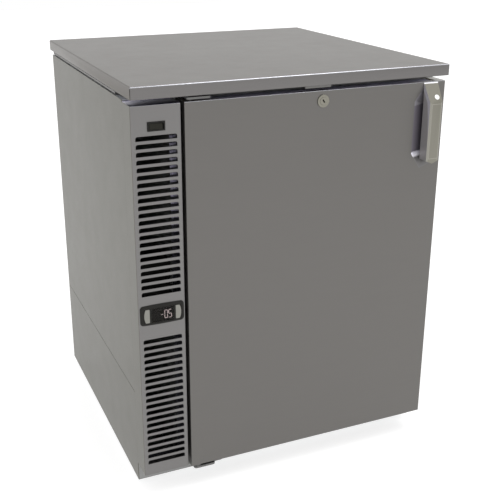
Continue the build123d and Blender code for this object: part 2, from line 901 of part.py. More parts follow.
with BuildPart() as controller_case:
    with BuildSketch(front_plane(cover_front_y)) as face_outline:
        with BuildLine():
            for edge_z, crown_z, start_x, end_x in (
                (case_edge_below_z, controller_z - controller_height / 2, case_left_x, case_right_x),
                (case_edge_above_z, controller_z + controller_height / 2, case_right_x, case_left_x),
            ):
                ThreePointArc((start_x, edge_z), (cover_middle_x, crown_z), (end_x, edge_z))
            Line((case_right_x, case_edge_below_z), (case_right_x, case_edge_above_z))
            Line((case_left_x, case_edge_above_z), (case_left_x, case_edge_below_z))
        make_face()
        fillet(face_outline.vertices(), controller_corner_radius)
    extrude(face_outline.sketch, amount=controller_proud)
    case_face = controller_case.faces().sort_by(Axis.Y)[0]
    chamfer(case_face.edges(), controller_bevel_width, controller_bevel_depth, reference=case_face)
    block(
        (cover_middle_x - controller_body_width / 2, cover_middle_x + controller_body_width / 2),
        (cover_front_y, cover_front_y + controller_body_depth),
        (controller_z - controller_body_height / 2, controller_z + controller_body_height / 2),
    )
    with BuildSketch(front_plane(controller_face_y + key_depth)) as key_holes:
        key_outline(left_key_flat_x, -1, key_clearance)
        key_outline(right_key_flat_x, 1, key_clearance)
    extrude(key_holes.sketch, amount=key_depth, mode=Mode.SUBTRACT)
    block(
        (cover_middle_x - window_width / 2, cover_middle_x + window_width / 2),
        (controller_face_y, controller_face_y + window_thickness + figure_depth),
        (controller_z - window_height / 2, controller_z + window_height / 2),
        Mode.SUBTRACT,
    )
controller_case.part.label = "controller_case"
export_step(controller_case.part, "parts/controller_case.step")

with BuildPart() as controller_window:
    block(
        (cover_middle_x - window_width / 2, cover_middle_x + window_width / 2),
        (controller_face_y, controller_face_y + window_thickness),
        (controller_z - window_height / 2, controller_z + window_height / 2),
    )
controller_window.part.label = "controller_window"
export_step(controller_window.part, "parts/controller_window.step")

# Lit figures behind the window, built from the seven bars of each place
figures_x = cover_middle_x + figures_offset
figures_z = controller_z - figures_drop
figure_y = (controller_face_y + window_thickness, controller_face_y + window_thickness + figure_depth)


def figure_bars(middle_x, names):
    """Lit bars of one place of the display: a top, b and c right, d bottom, e and f left, g middle."""
    half_width = figure_width / 2
    inner = half_width - figure_stroke
    lower = (figures_z - figure_height / 2 + figure_stroke, figures_z - figure_stroke / 2)
    upper = (figures_z + figure_stroke / 2, figures_z + figure_height / 2 - figure_stroke)
    bars = {
        "a": ((-half_width, half_width), (upper[1], upper[1] + figure_stroke)),
        "b": ((inner, half_width), upper),
        "c": ((inner, half_width), lower),
        "d": ((-half_width, half_width), (lower[0] - figure_stroke, lower[0])),
        "e": ((-half_width, -inner), lower),
        "f": ((-half_width, -inner), upper),
        "g": ((-half_width, half_width), (lower[1], upper[0])),
    }
    for name in names:
        bar_x, bar_z = bars[name]
        block((middle_x + bar_x[0], middle_x + bar_x[1]), figure_y, bar_z)


with BuildPart() as display_figures:
    figure_bars(figures_x - figure_width - figure_gap, "g")
    figure_bars(figures_x, "abcdef")
    figure_bars(figures_x + figure_width + figure_gap, "afgcd")
display_figures.part.label = "display_figures"
export_step(display_figures.part, "parts/display_figures.step")

key_y = controller_face_y - key_proud
with BuildPart() as controller_key_left:
    with BuildSketch(front_plane(key_y + key_depth - key_proud)) as left_key_shape:
        key_outline(left_key_flat_x, -1, 0)
    extrude(left_key_shape.sketch, amount=key_depth - key_proud)
controller_key_left.part.label = "controller_key_left"
export_step(controller_key_left.part, "parts/controller_key_left.step")

with BuildPart() as controller_key_right:
    with BuildSketch(front_plane(key_y + key_depth - key_proud)) as right_key_shape:
        key_outline(right_key_flat_x, 1, 0)
    extrude(right_key_shape.sketch, amount=key_depth - key_proud)
controller_key_right.part.label = "controller_key_right"
export_step(controller_key_right.part, "parts/controller_key_right.step")

# Electrical box in the duct, fixed to the lining
control_box_front_y = body_front_y + control_box_setback
control_box_bottom_z = base_z + control_box_height_above_base
with BuildPart() as control_box:
    block(
        (box_left_x - control_box_width, box_left_x),
        (control_box_front_y, control_box_front_y + control_box_depth),
        (control_box_bottom_z, control_box_bottom_z + control_box_height),
    )
    fillet(control_box.edges().filter_by(Axis.Z), control_box_corner_radius)
control_box.part.label = "control_box"
export_step(control_box.part, "parts/control_box.step")

# Hinge brackets with their pins
with BuildPart() as hinge_top_bracket:
    block(
        (hinge_x - top_plate_left, hinge_x + top_plate_right),
        (hinge_y - top_plate_front, body_front_y + top_plate_depth_on_body),
        (panel_top_z, panel_top_z + top_plate_thickness),
    )
    fillet(hinge_top_bracket.edges().filter_by(Axis.Z).sort_by(Axis.Y)[:2], bracket_corner_radius)
    rod((hinge_x, hinge_y, panel_top_z - top_pin_length), (hinge_x, hinge_y, panel_top_z), pin_radius)
hinge_top_bracket.part.label = "hinge_top_bracket"
export_step(hinge_top_bracket.part, "parts/hinge_top_bracket.step")

bottom_plate_z = base_z + bottom_plate_height
bottom_plate_top_z = bottom_plate_z + bottom_plate_thickness
with BuildPart() as hinge_bottom_bracket:
    block(
        (hinge_x - bottom_plate_left, hinge_x + bottom_plate_right),
        (hinge_y - bottom_plate_front, body_front_y),
        (bottom_plate_z, bottom_plate_top_z),
    )
    fillet(hinge_bottom_bracket.edges().filter_by(Axis.Z).sort_by(Axis.Y)[:2], bracket_corner_radius)
    block(
        (hinge_x - bottom_plate_left, hinge_x + bottom_shoulder_right),
        (hinge_y - bottom_plate_front + bottom_shoulder_setback, body_front_y),
        (bottom_plate_z, bottom_plate_top_z),
    )
    block(
        (hinge_x - bottom_plate_left, hinge_x + bottom_shoulder_right),
        (body_front_y - bottom_leg_thickness, body_front_y),
        (bottom_plate_z - bottom_leg_drop, bottom_plate_z),
    )
    rod(
        (hinge_x, hinge_y, bottom_plate_top_z),
        (hinge_x, hinge_y, door_bottom_z + bottom_pin_reach),
        pin_radius,
    )
hinge_bottom_bracket.part.label = "hinge_bottom_bracket"
export_step(hinge_bottom_bracket.part, "parts/hinge_bottom_bracket.step")

# Keeper under the worktop: a front lip, and a tab that the cam turns up behind
strike_left_x = left_x + strike_left
strike_span = (strike_left_x, strike_left_x + strike_width)
strike_tab_back_y = cam_front_y - strike_gap
with BuildPart() as strike_plate:
    block(
        strike_span,
        (front_y + strike_front_inset, cam_back_y + strike_back_margin),
        (worktop_under_z - strike_sheet, worktop_under_z),
    )
    block(
        strike_span,
        (front_y + strike_front_inset, front_y + strike_front_inset + strike_sheet),
        (worktop_under_z - strike_lip_drop, worktop_under_z - strike_sheet),
    )
    block(
        strike_span,
        (strike_tab_back_y - strike_sheet, strike_tab_back_y),
        (worktop_under_z - strike_tab_drop, worktop_under_z - strike_sheet),
    )
strike_plate.part.label = "strike_plate"
export_step(strike_plate.part, "parts/strike_plate.step")

# Screws of the hinge brackets and of the two rear covers
bracket_screws_y = body_front_y + top_plate_depth_on_body - screw_edge_inset
top_plate_screw_z = panel_top_z + top_plate_thickness
leg_front_y = body_front_y - bottom_leg_thickness
leg_screw_z = bottom_plate_z - bottom_leg_drop / 2
rear_screw_heights = [
    bay_top_z + screw_edge_inset + row * (panel_top_z - bay_top_z - 2 * screw_edge_inset) / (screw_rows - 1)
    for row in range(screw_rows)
] + [base_z + screw_edge_inset, bay_top_z - screw_edge_inset]
with BuildPart() as panel_screws:
    screw_heads(
        [
            (hinge_x, bracket_screws_y, top_plate_screw_z),
            (hinge_x + bracket_screw_pitch, bracket_screws_y, top_plate_screw_z),
        ],
        (0, 0, 1),
    )
    screw_heads(
        [
            (hinge_x + screw_edge_inset, leg_front_y, leg_screw_z),
            (hinge_x + screw_edge_inset + bracket_screw_pitch, leg_front_y, leg_screw_z),
        ],
        (0, -1, 0),
    )
    screw_heads(
        [
            (side * (right_x - sheet - screw_edge_inset), body_back_y, screw_z)
            for side in (-1, 1)
            for screw_z in rear_screw_heights
        ],
        (0, 1, 0),
    )
panel_screws.part.label = "panel_screws"
export_step(panel_screws.part, "parts/panel_screws.step")

# Pressed pocket beside the handle: an outline on the door's face and a smaller floor behind it
pocket_outline = (
    (pocket_apex_x, handle_top_z - pocket_top_below_handle_top),
    (pocket_left_x, pocket_side_top_z),
    (pocket_left_x, pocket_side_bottom_z),
    (pocket_apex_x, handle_tip_z - pocket_bottom_below_tip),
    (pocket_right_x, handle_tip_z - pocket_right_bottom_below_tip),
    (pocket_right_x, handle_bend_z + pocket_right_top_above_bend),
)
pocket_floor = (
    (pocket_floor_middle_x, pocket_floor_top_z + pocket_floor_apex),
    (pocket_floor_left_x, pocket_floor_top_z),
    (pocket_floor_left_x, pocket_floor_bottom_z),
    (pocket_floor_middle_x, pocket_floor_bottom_z - pocket_floor_apex),
    (pocket_floor_right_x, pocket_floor_bottom_z),
    (pocket_floor_right_x, pocket_floor_top_z),
)


def pocket_solid(growth):
    """The space of the pocket, or that space grown by the sheet's thickness."""
    sections = []
    floor_y = door_front_y + pocket_depth + growth
    for outline, y in ((pocket_outline, door_front_y), (pocket_floor, floor_y)):
        with BuildSketch(front_plane(y)) as section:
            with BuildLine():
                Polyline(*outline, close=True)
            make_face()
            if growth:
                offset(amount=growth, kind=Kind.INTERSECTION)
        sections.append(section.sketch.face())
    return loft(sections, ruled=True, mode=Mode.PRIVATE)


pocket_space = pocket_solid(0)
pocket_shell_space = pocket_solid(sheet)

# Door
door_inner_x = (door_left_x + sheet, door_right_x - sheet)
door_inner_z = (door_bottom_z + sheet, door_top_z - sheet)
trim_top_z = door_top_z - trim_recess
trim_bottom_z = door_top_z - trim_depth
recess_right_x = door_right_x - right_block_width

# The dark trim lies behind a thin rim in the middle and behind a deeper steel strip towards both corners
trim_spans = (
    ((trim_left_x, trim_right_x), (door_front_y + door_rim, door_back_y)),
    ((door_left_x + recess_left_margin, recess_right_x), (door_front_y + corner_strip_depth, door_back_y)),
)
cam_slot_x = (strike_left_x - cam_slot_left_room, strike_left_x + strike_width)
cam_slot_y = (cam_front_y - cylinder_tail, cam_back_y + cam_room)
with BuildPart() as door_outer_skin:
    block((door_left_x, door_right_x), (door_front_y, door_back_y), (door_bottom_z, door_top_z))
    fillet(door_outer_skin.faces().sort_by(Axis.Y)[0].edges(), door_edge_radius)
    block(door_inner_x, (door_front_y + sheet, door_back_y), door_inner_z, Mode.SUBTRACT)
    for recess_x, recess_y in trim_spans:
        block(recess_x, recess_y, (door_top_z - sheet, door_top_z), Mode.SUBTRACT)
    add(pocket_shell_space)
    add(pocket_space, mode=Mode.SUBTRACT)
    rod(
        (lock_x, door_front_y, lock_z),
        (lock_x, door_front_y + sheet, lock_z),
        lock_barrel_radius,
        Mode.SUBTRACT,
    )
    rod((hinge_x, hinge_y, door_bottom_z), (hinge_x, hinge_y, door_top_z), bush_radius, Mode.SUBTRACT)
door_outer_skin.part.label = "door_outer_skin"
export_step(door_outer_skin.part, "parts/door_outer_skin.step")

with BuildPart() as door_top_trim:
    for recess_x, recess_y in trim_spans:
        block(recess_x, recess_y, (trim_bottom_z, trim_top_z))
    block(cam_slot_x, cam_slot_y, (trim_bottom_z, trim_top_z), Mode.SUBTRACT)
door_top_trim.part.label = "door_top_trim"
export_step(door_top_trim.part, "parts/door_top_trim.step")

liner_plate_y = (door_back_y - door_liner_sheet, door_back_y)
gasket_outer_x = (door_left_x + gasket_inset, door_right_x - gasket_inset)
gasket_outer_z = (door_bottom_z + gasket_inset, door_top_z - gasket_inset)


def inward(span, distance):
    """A span shortened by the same distance at both of its ends."""
    return (span[0] + distance, span[1] - distance)


def ring(x_span, z_span, y_span, width):
    """A rectangular ring seen from the front, with its bars of one width."""
    across = x_span[1] - x_span[0]
    upright = z_span[1] - z_span[0]
    with BuildSketch(front_plane(y_span[1])) as outline:
        with Locations(((x_span[0] + x_span[1]) / 2, (z_span[0] + z_span[1]) / 2)):
            Rectangle(across, upright)
            Rectangle(across - 2 * width, upright - 2 * width, mode=Mode.SUBTRACT)
    extrude(outline.sketch, amount=y_span[1] - y_span[0])


with BuildPart() as door_insulation:
    block(door_inner_x, (door_front_y + sheet, liner_plate_y[0]), door_inner_z)
    add(pocket_shell_space, mode=Mode.SUBTRACT)
    for recess_x, recess_y in trim_spans:
        block(recess_x, recess_y, (trim_bottom_z, door_top_z), Mode.SUBTRACT)
    rod(
        (lock_x, door_front_y + sheet, lock_z),
        (lock_x, cam_slot_y[0], lock_z),
        lock_barrel_radius,
        Mode.SUBTRACT,
    )
    block(cam_slot_x, cam_slot_y, (lock_z - cam_width / 2 - cam_room, trim_bottom_z), Mode.SUBTRACT)
    for bush_z in ((door_bottom_z, door_bottom_z + bush_length), (door_top_z - bush_length, door_top_z)):
        rod((hinge_x, hinge_y, bush_z[0]), (hinge_x, hinge_y, bush_z[1]), bush_radius, Mode.SUBTRACT)
door_insulation.part.label = "door_insulation"
export_step(door_insulation.part, "parts/door_insulation.step")

with BuildPart() as door_liner:
    block(door_inner_x, liner_plate_y, (door_inner_z[0], trim_bottom_z))
    ring(
        inward(gasket_outer_x, gasket_width + dyke_inset),
        inward(gasket_outer_z, gasket_width + dyke_inset),
        (door_back_y, door_back_y + dyke_height),
        dyke_width,
    )
door_liner.part.label = "door_liner"
export_step(door_liner.part, "parts/door_liner.step")

# Magnetic seal: a broad base on the door and a narrower head towards the cabinet
with BuildPart() as door_gasket:
    ring(gasket_outer_x, gasket_outer_z, (door_back_y, door_back_y + gasket_base), gasket_width)
    ring(
        inward(gasket_outer_x, gasket_head_inset),
        inward(gasket_outer_z, gasket_head_inset),
        (door_back_y + gasket_base, body_front_y - gasket_running_gap),
        gasket_width - 2 * gasket_head_inset,
    )
door_gasket.part.label = "door_gasket"
export_step(door_gasket.part, "parts/door_gasket.step")

# Bushes in the door, the lower one with a flange that runs on the bracket
with BuildPart() as door_bushes:
    rod((hinge_x, hinge_y, door_bottom_z), (hinge_x, hinge_y, door_bottom_z + bush_length), bush_radius)
    rod(
        (hinge_x, hinge_y, bottom_plate_top_z + bush_flange_gap),
        (hinge_x, hinge_y, door_bottom_z),
        bush_flange_radius,
    )
    rod((hinge_x, hinge_y, door_top_z - bush_length), (hinge_x, hinge_y, door_top_z), bush_radius)
    rod(
        (hinge_x, hinge_y, bottom_plate_top_z),
        (hinge_x, hinge_y, door_top_z),
        pin_radius + pin_clearance,
        Mode.SUBTRACT,
    )
door_bushes.part.label = "door_bushes"
export_step(door_bushes.part, "parts/door_bushes.step")

# Lock
with BuildPart() as lock_body:
    rod(
        (lock_x, door_front_y, lock_z),
        (lock_x, door_front_y - lock_flange_proud, lock_z),
        lock_flange_radius,
    )
    fillet(lock_body.edges().sort_by(Axis.Y)[0], lock_flange_edge_radius)
    rod(
        (lock_x, door_front_y, lock_z),
        (lock_x, door_front_y + lock_barrel_length, lock_z),
        lock_barrel_radius,
    )
    rod(
        (lock_x, door_front_y - lock_flange_proud, lock_z),
        (lock_x, door_front_y + lock_barrel_length, lock_z),
        cylinder_radius + cylinder_clearance,
        Mode.SUBTRACT,
    )
lock_body.part.label = "lock_body"
export_step(lock_body.part, "parts/lock_body.step")

cylinder_front_y = door_front_y - lock_flange_proud - cylinder_proud
with BuildPart() as lock_cylinder:
    rod((lock_x, cylinder_front_y, lock_z), (lock_x, cam_front_y, lock_z), cylinder_radius)
    with BuildSketch(front_plane(cylinder_front_y + keyhole_depth)) as keyhole:
        with Locations((lock_x, lock_z)):
            SlotOverall(keyhole_length, keyhole_width, rotation=90 - keyhole_tilt)
    extrude(keyhole.sketch, amount=keyhole_depth, mode=Mode.SUBTRACT)
lock_cylinder.part.label = "lock_cylinder"
export_step(lock_cylinder.part, "parts/lock_cylinder.step")

with BuildPart() as lock_cam:
    with BuildSketch(front_plane(cam_back_y)) as cam_shape:
        with Locations((lock_x, lock_z)):
            Circle(cam_width / 2)
        with Locations((lock_x - cam_length / 2, lock_z)):
            Rectangle(cam_length, cam_width)
        fillet(cam_shape.vertices().sort_by(Axis.X)[:2], cam_corner_radius)
    extrude(cam_shape.sketch, amount=cam_thickness)
lock_cam.part.label = "lock_cam"
export_step(lock_cam.part, "parts/lock_cam.step")

# Handle: a hollow shell over the pocket, open towards the door, so that fingers reach behind its left wall
handle_top_left_x = handle_x - handle_top_width / 2
handle_top_right_x = handle_x + handle_top_width / 2
handle_front_outline = (
    (handle_top_left_x, handle_top_z),
    (handle_left_x, handle_bend_z),
    (handle_left_x, handle_shoulder_z),
    (handle_x, handle_tip_z),
    (handle_right_x, handle_shoulder_z),
    (handle_right_x, handle_bend_z),
    (handle_top_right_x, handle_top_z),
)

# Seen from the side, the outline runs on behind the door's face, where the front outline trims it
handle_form_back_y = door_front_y + 3 * handle_sheet
handle_side_outline = (
    (handle_form_back_y, handle_top_z),
    (door_front_y, handle_top_z),
    (handle_front_y, handle_bend_z),
    (handle_front_y, handle_tip_z),
    (handle_form_back_y, handle_tip_z),
)


def outline_face(plane, points, inset):
    """A closed outline on a plane, with its edges moved inward."""
    with BuildSketch(plane) as face:
        with BuildLine():
            Polyline(*points, close=True)
        make_face()
        if inset:
            offset(amount=-inset, kind=Kind.INTERSECTION)
    return face.sketch


def handle_solid(inset):
    """The handle's outer form, or the same form with all of its walls moved inward."""
    side_plane = Plane(origin=(handle_top_left_x, 0, 0), x_dir=(0, 1, 0), z_dir=(1, 0, 0))
    front_face = outline_face(front_plane(door_front_y + inset), handle_front_outline, inset)
    side_face = outline_face(side_plane, handle_side_outline, inset)
    front_form = extrude(front_face, amount=handle_standoff + inset, mode=Mode.PRIVATE)
    side_form = extrude(side_face, amount=handle_top_width, mode=Mode.PRIVATE)
    return front_form & side_form


handle_outer_form = handle_solid(0)
handle_hollow = handle_solid(handle_sheet)
slant = Vector(0, handle_front_y - door_front_y, handle_bend_z - handle_top_z).normalized()
slant_normal = Vector(0, slant.Z, -slant.Y)
handle_hole_at = (
    handle_x + handle_hole_side,
    door_front_y - handle_hole_standoff,
    handle_top_z - (handle_top_z - handle_bend_z) * handle_hole_standoff / handle_standoff,
)
hole_start = Vector(*handle_hole_at) - slant_normal * handle_sheet
hole_end = Vector(*handle_hole_at) + slant_normal * handle_cap_proud
with BuildPart() as door_handle:
    add(handle_outer_form)
    grip_face = door_handle.faces().sort_by(Axis.Y)[0]
    side_edges = grip_face.edges().filter_by(Axis.Z)
    chamfer(side_edges, handle_bevel_width, handle_bevel_depth, reference=grip_face)
    add(handle_hollow, mode=Mode.SUBTRACT)
    rod(hole_start, hole_end, handle_hole_radius, Mode.SUBTRACT)
door_handle.part.label = "door_handle"
export_step(door_handle.part, "parts/door_handle.step")

with BuildPart() as handle_cap:
    rod(hole_start, hole_end, handle_hole_radius)
handle_cap.part.label = "handle_cap"
export_step(handle_cap.part, "parts/handle_cap.step")

# Shelf supports: a pilaster strip in each corner of the upper cavity, with clips at each shelf
pilaster_ys = (liner_front_y + pilaster_setback, cavity_back_y - pilaster_setback)
shelf_zs = [base_z + height for height in shelf_heights]
evaporator_front_y = cavity_back_y - evaporator_depth
evaporator_bottom_z = cavity_top_z - evaporator_height
with BuildPart() as shelf_pilasters:
    for pilaster_y in pilaster_ys:
        ceiling_z = cavity_top_z if pilaster_y < evaporator_front_y else evaporator_bottom_z
        top = ceiling_z - pilaster_top_gap
        for wall_x, inward_x in ((cavity_left_x, 1), (cavity_right_x, -1)):
            near_x = wall_x
            far_x = wall_x + inward_x * pilaster_thickness
            block(
                (min(near_x, far_x), max(near_x, far_x)),
                (pilaster_y - pilaster_width / 2, pilaster_y + pilaster_width / 2),
                (step_floor_z + pilaster_bottom_gap, top),
            )
            hollow_x = (near_x, far_x - inward_x * pilaster_sheet)
            block(
                (min(hollow_x), max(hollow_x)),
                (
                    pilaster_y - pilaster_width / 2 + pilaster_sheet,
                    pilaster_y + pilaster_width / 2 - pilaster_sheet,
                ),
                (step_floor_z + pilaster_bottom_gap, top),
                Mode.SUBTRACT,
            )
shelf_pilasters.part.label = "shelf_pilasters"
export_step(shelf_pilasters.part, "parts/shelf_pilasters.step")

with BuildPart() as shelf_clips:
    for shelf_z in shelf_zs:
        clip_top_z = shelf_z - shelf_rim_radius
        for pilaster_y in pilaster_ys:
            for face_x, inward_x in (
                (cavity_left_x + pilaster_thickness, 1),
                (cavity_right_x - pilaster_thickness, -1),
            ):
                tongue_x = (face_x, face_x + inward_x * clip_reach)
                hook_x = (face_x, face_x + inward_x * clip_sheet / 2)
                clip_y = (pilaster_y - clip_width / 2, pilaster_y + clip_width / 2)
                block((min(tongue_x), max(tongue_x)), clip_y, (clip_top_z - clip_sheet, clip_top_z))
                block((min(hook_x), max(hook_x)), clip_y, (clip_top_z - clip_height, clip_top_z))
shelf_clips.part.label = "shelf_clips"
export_step(shelf_clips.part, "parts/shelf_clips.step")

# Wire shelves
shelf_left_x = cavity_left_x + pilaster_thickness + shelf_side_gap + shelf_rim_radius
shelf_right_x = cavity_right_x - pilaster_thickness - shelf_side_gap - shelf_rim_radius
shelf_front_y = liner_front_y + shelf_front_gap


def wire_shelf(shelf_z, shelf_back_y):
    """A rim of thick wire with thin wires from front to back on top of it."""
    middle_y = (shelf_front_y + shelf_back_y) / 2
    for bar_y in (shelf_front_y, middle_y, shelf_back_y):
        rod((shelf_left_x, bar_y, shelf_z), (shelf_right_x, bar_y, shelf_z), shelf_rim_radius)
    for bar_x in (shelf_left_x, shelf_right_x):
        rod((bar_x, shelf_front_y, shelf_z), (bar_x, shelf_back_y, shelf_z), shelf_rim_radius)
        for corner_y in (shelf_front_y, shelf_back_y):
            with Locations((bar_x, corner_y, shelf_z)):
                Sphere(shelf_rim_radius)
    wire_count = int((shelf_right_x - shelf_left_x) / shelf_wire_pitch) - 1
    first_x = (shelf_left_x + shelf_right_x - (wire_count - 1) * shelf_wire_pitch) / 2
    for wire in range(wire_count):
        wire_x = first_x + wire * shelf_wire_pitch
        wire_z = shelf_z + shelf_rim_radius
        rod((wire_x, shelf_front_y, wire_z), (wire_x, shelf_back_y, wire_z), shelf_wire_radius)


full_shelf_back_y = cavity_back_y - drain_corner_gap - drain_radius - shelf_back_gap + shelf_rim_radius
short_shelf_back_y = evaporator_front_y - top_shelf_clearance
with BuildPart() as wire_shelf_lower:
    wire_shelf(shelf_zs[0], full_shelf_back_y)
wire_shelf_lower.part.label = "wire_shelf_lower"
export_step(wire_shelf_lower.part, "parts/wire_shelf_lower.step")

with BuildPart() as wire_shelf_middle:
    wire_shelf(shelf_zs[1], full_shelf_back_y)
wire_shelf_middle.part.label = "wire_shelf_middle"
export_step(wire_shelf_middle.part, "parts/wire_shelf_middle.step")

with BuildPart() as wire_shelf_upper:
    wire_shelf(shelf_zs[2], short_shelf_back_y)
wire_shelf_upper.part.label = "wire_shelf_upper"
export_step(wire_shelf_upper.part, "parts/wire_shelf_upper.step")

# Evaporator behind a cover with a fan guard, under the ceiling at the back
cover_span_x = (cavity_left_x + evaporator_side_gap, cavity_right_x - evaporator_side_gap)
cavity_middle_x = (cavity_left_x + cavity_right_x) / 2
fan_z = (evaporator_bottom_z + cavity_top_z) / 2
guard_radius = evaporator_fan_radius + evaporator_fan_gap
with BuildPart() as evaporator_cover:
    block(cover_span_x, (evaporator_front_y, cavity_back_y), (evaporator_bottom_z, cavity_top_z))
    block(
        inward(cover_span_x, evaporator_sheet),
        (evaporator_front_y + evaporator_sheet, cavity_back_y),
        (evaporator_bottom_z + evaporator_sheet, cavity_top_z),
        Mode.SUBTRACT,
    )
    rod(
        (cavity_middle_x, evaporator_front_y, fan_z),
        (cavity_middle_x, evaporator_front_y + evaporator_sheet, fan_z),
        guard_radius,
        Mode.SUBTRACT,
    )
    guard_y = evaporator_front_y + evaporator_sheet / 2
    for ring_number in range(guard_ring_count):
        ring_radius = guard_inner_ring_radius + ring_number * guard_ring_pitch
        with BuildSketch(front_plane(guard_y + guard_wire_radius / 2)) as guard_ring:
            with Locations((cavity_middle_x, fan_z)):
                Circle(ring_radius + guard_wire_radius)
                Circle(ring_radius - guard_wire_radius, mode=Mode.SUBTRACT)
        extrude(guard_ring.sketch, amount=guard_wire_radius)
    for turn in (45, 135):
        spoke = Vector(guard_radius + guard_wire_radius, 0, 0).rotate(Axis.Y, turn)
        centre = Vector(cavity_middle_x, guard_y, fan_z)
        rod(centre - spoke, centre + spoke, guard_wire_radius / 2)
    floor_top_z = evaporator_bottom_z + evaporator_sheet
    suction_hole_radius = pipe_radius + pipe_hole_clearance
    for hole_x, hole_radius in ((suction_x, suction_hole_radius), (drain_x, drain_bore_radius)):
        rod(
            (hole_x, drain_y, evaporator_bottom_z),
            (hole_x, drain_y, floor_top_z),
            hole_radius,
            Mode.SUBTRACT,
        )
evaporator_cover.part.label = "evaporator_cover"
export_step(evaporator_cover.part, "parts/evaporator_cover.step")

coil_length = (evaporator_fin_count - 1) * evaporator_fin_pitch
coil_left_x = cavity_middle_x - coil_length / 2
coil_back_y = cavity_back_y
coil_front_y = coil_back_y - evaporator_coil_depth
coil_bottom_z = fan_z - evaporator_coil_height / 2
with BuildPart() as evaporator_coil:
    for fin in range(evaporator_fin_count):
        fin_x = coil_left_x + fin * evaporator_fin_pitch
        block(
            (fin_x - evaporator_fin_thickness / 2, fin_x + evaporator_fin_thickness / 2),
            (coil_front_y, coil_back_y),
            (coil_bottom_z, coil_bottom_z + evaporator_coil_height),
        )
    for tube_column in range(evaporator_tube_columns):
        tube_y = coil_front_y + evaporator_coil_depth * (tube_column + 0.5) / evaporator_tube_columns
        for tube in range(evaporator_tube_rows):
            tube_z = coil_bottom_z + evaporator_coil_height * (tube + 0.5) / evaporator_tube_rows
            rod(
                (coil_left_x - evaporator_fin_pitch, tube_y, tube_z),
                (coil_left_x + coil_length + evaporator_fin_pitch, tube_y, tube_z),
                evaporator_tube_radius,
            )
evaporator_coil.part.label = "evaporator_coil"
export_step(evaporator_coil.part, "parts/evaporator_coil.step")

# Evaporator fan: the blade on the motor's shaft, the motor on a bar across the cover's mouth
evaporator_blade_y = evaporator_front_y + evaporator_sheet + evaporator_fan_gap + evaporator_fan_depth / 2
evaporator_motor_y = evaporator_blade_y + evaporator_fan_depth / 2 + fan_motor_gap
evaporator_motor_back_y = evaporator_motor_y + evaporator_motor_length
fan_bore_radius = fan_shaft_radius + fan_shaft_clearance
evaporator_fan_plane = Plane(origin=(cavity_middle_x, evaporator_blade_y, fan_z), z_dir=(0, -1, 0))
with BuildPart(evaporator_fan_plane) as evaporator_fan_blade:
    fan(evaporator_fan_radius, evaporator_hub_radius, evaporator_fan_depth, fan_bore_radius)
evaporator_fan_blade.part.label = "evaporator_fan_blade"
export_step(evaporator_fan_blade.part, "parts/evaporator_fan_blade.step")

with BuildPart() as evaporator_fan_motor:
    rod(
        (cavity_middle_x, evaporator_motor_y, fan_z),
        (cavity_middle_x, evaporator_motor_back_y, fan_z),
        evaporator_motor_radius,
    )
    rod(
        (cavity_middle_x, evaporator_blade_y - evaporator_fan_depth / 2, fan_z),
        (cavity_middle_x, evaporator_motor_y, fan_z),
        fan_shaft_radius,
    )
    motor_bar_reach = evaporator_motor_bar_width / 2
    block(
        (cavity_middle_x - motor_bar_reach, cavity_middle_x + motor_bar_reach),
        (evaporator_motor_back_y - evaporator_motor_bar_thickness, evaporator_motor_back_y),
        (evaporator_bottom_z + evaporator_sheet, cavity_top_z),
    )
evaporator_fan_motor.part.label = "evaporator_fan_motor"
export_step(evaporator_fan_motor.part, "parts/evaporator_fan_motor.step")

# Drain sleeve from the evaporator's tray down to the condensate tray
tray_right_x = right_x - sheet - tray_right_gap
tray_top_z = pan_top_z + tray_height
drain_outlet = (drain_x, drain_y, tray_top_z - drain_outlet_drop)
drain_inlet = (drain_x, drain_y, evaporator_bottom_z)
with BuildPart() as drain_sleeve:
    rod(drain_outlet, drain_inlet, drain_radius)
    rod(drain_outlet, drain_inlet, drain_bore_radius, Mode.SUBTRACT)
drain_sleeve.part.label = "drain_sleeve"
export_step(drain_sleeve.part, "parts/drain_sleeve.step")

# Condenser at the left of the machine bay, with its shroud and fan on its right
condenser_left_x = box_left_x
condenser_right_x = condenser_left_x + condenser_depth
condenser_span_y = (bay_front_y + condenser_margin, box_back_y - condenser_margin)
condenser_middle_y = (condenser_span_y[0] + condenser_span_y[1]) / 2
condenser_width = condenser_span_y[1] - condenser_span_y[0]
condenser_tube_top_z = bay_top_z - condenser_tube_top_gap
condenser_height = (condenser_fin_count - 1) * condenser_fin_pitch
condenser_bottom_z = pan_top_z + (bay_top_z - pan_top_z - condenser_height) / 2
condenser_middle_z = condenser_bottom_z + condenser_height / 2
with BuildPart() as condenser_coil:
    for fin in range(condenser_fin_count):
        fin_z = condenser_bottom_z + fin * condenser_fin_pitch
        block(
            (condenser_left_x, condenser_right_x),
            condenser_span_y,
            (fin_z - condenser_fin_thickness / 2, fin_z + condenser_fin_thickness / 2),
        )
    for tube_column in range(condenser_tube_columns):
        tube_x = condenser_left_x + condenser_depth * (tube_column + 0.5) / condenser_tube_columns
        for tube in range(condenser_tube_rows):
            tube_y = condenser_span_y[0] + condenser_width * (tube + 0.5) / condenser_tube_rows
            rod((tube_x, tube_y, pan_top_z), (tube_x, tube_y, condenser_tube_top_z), condenser_tube_radius)
condenser_coil.part.label = "condenser_coil"
export_step(condenser_coil.part, "parts/condenser_coil.step")

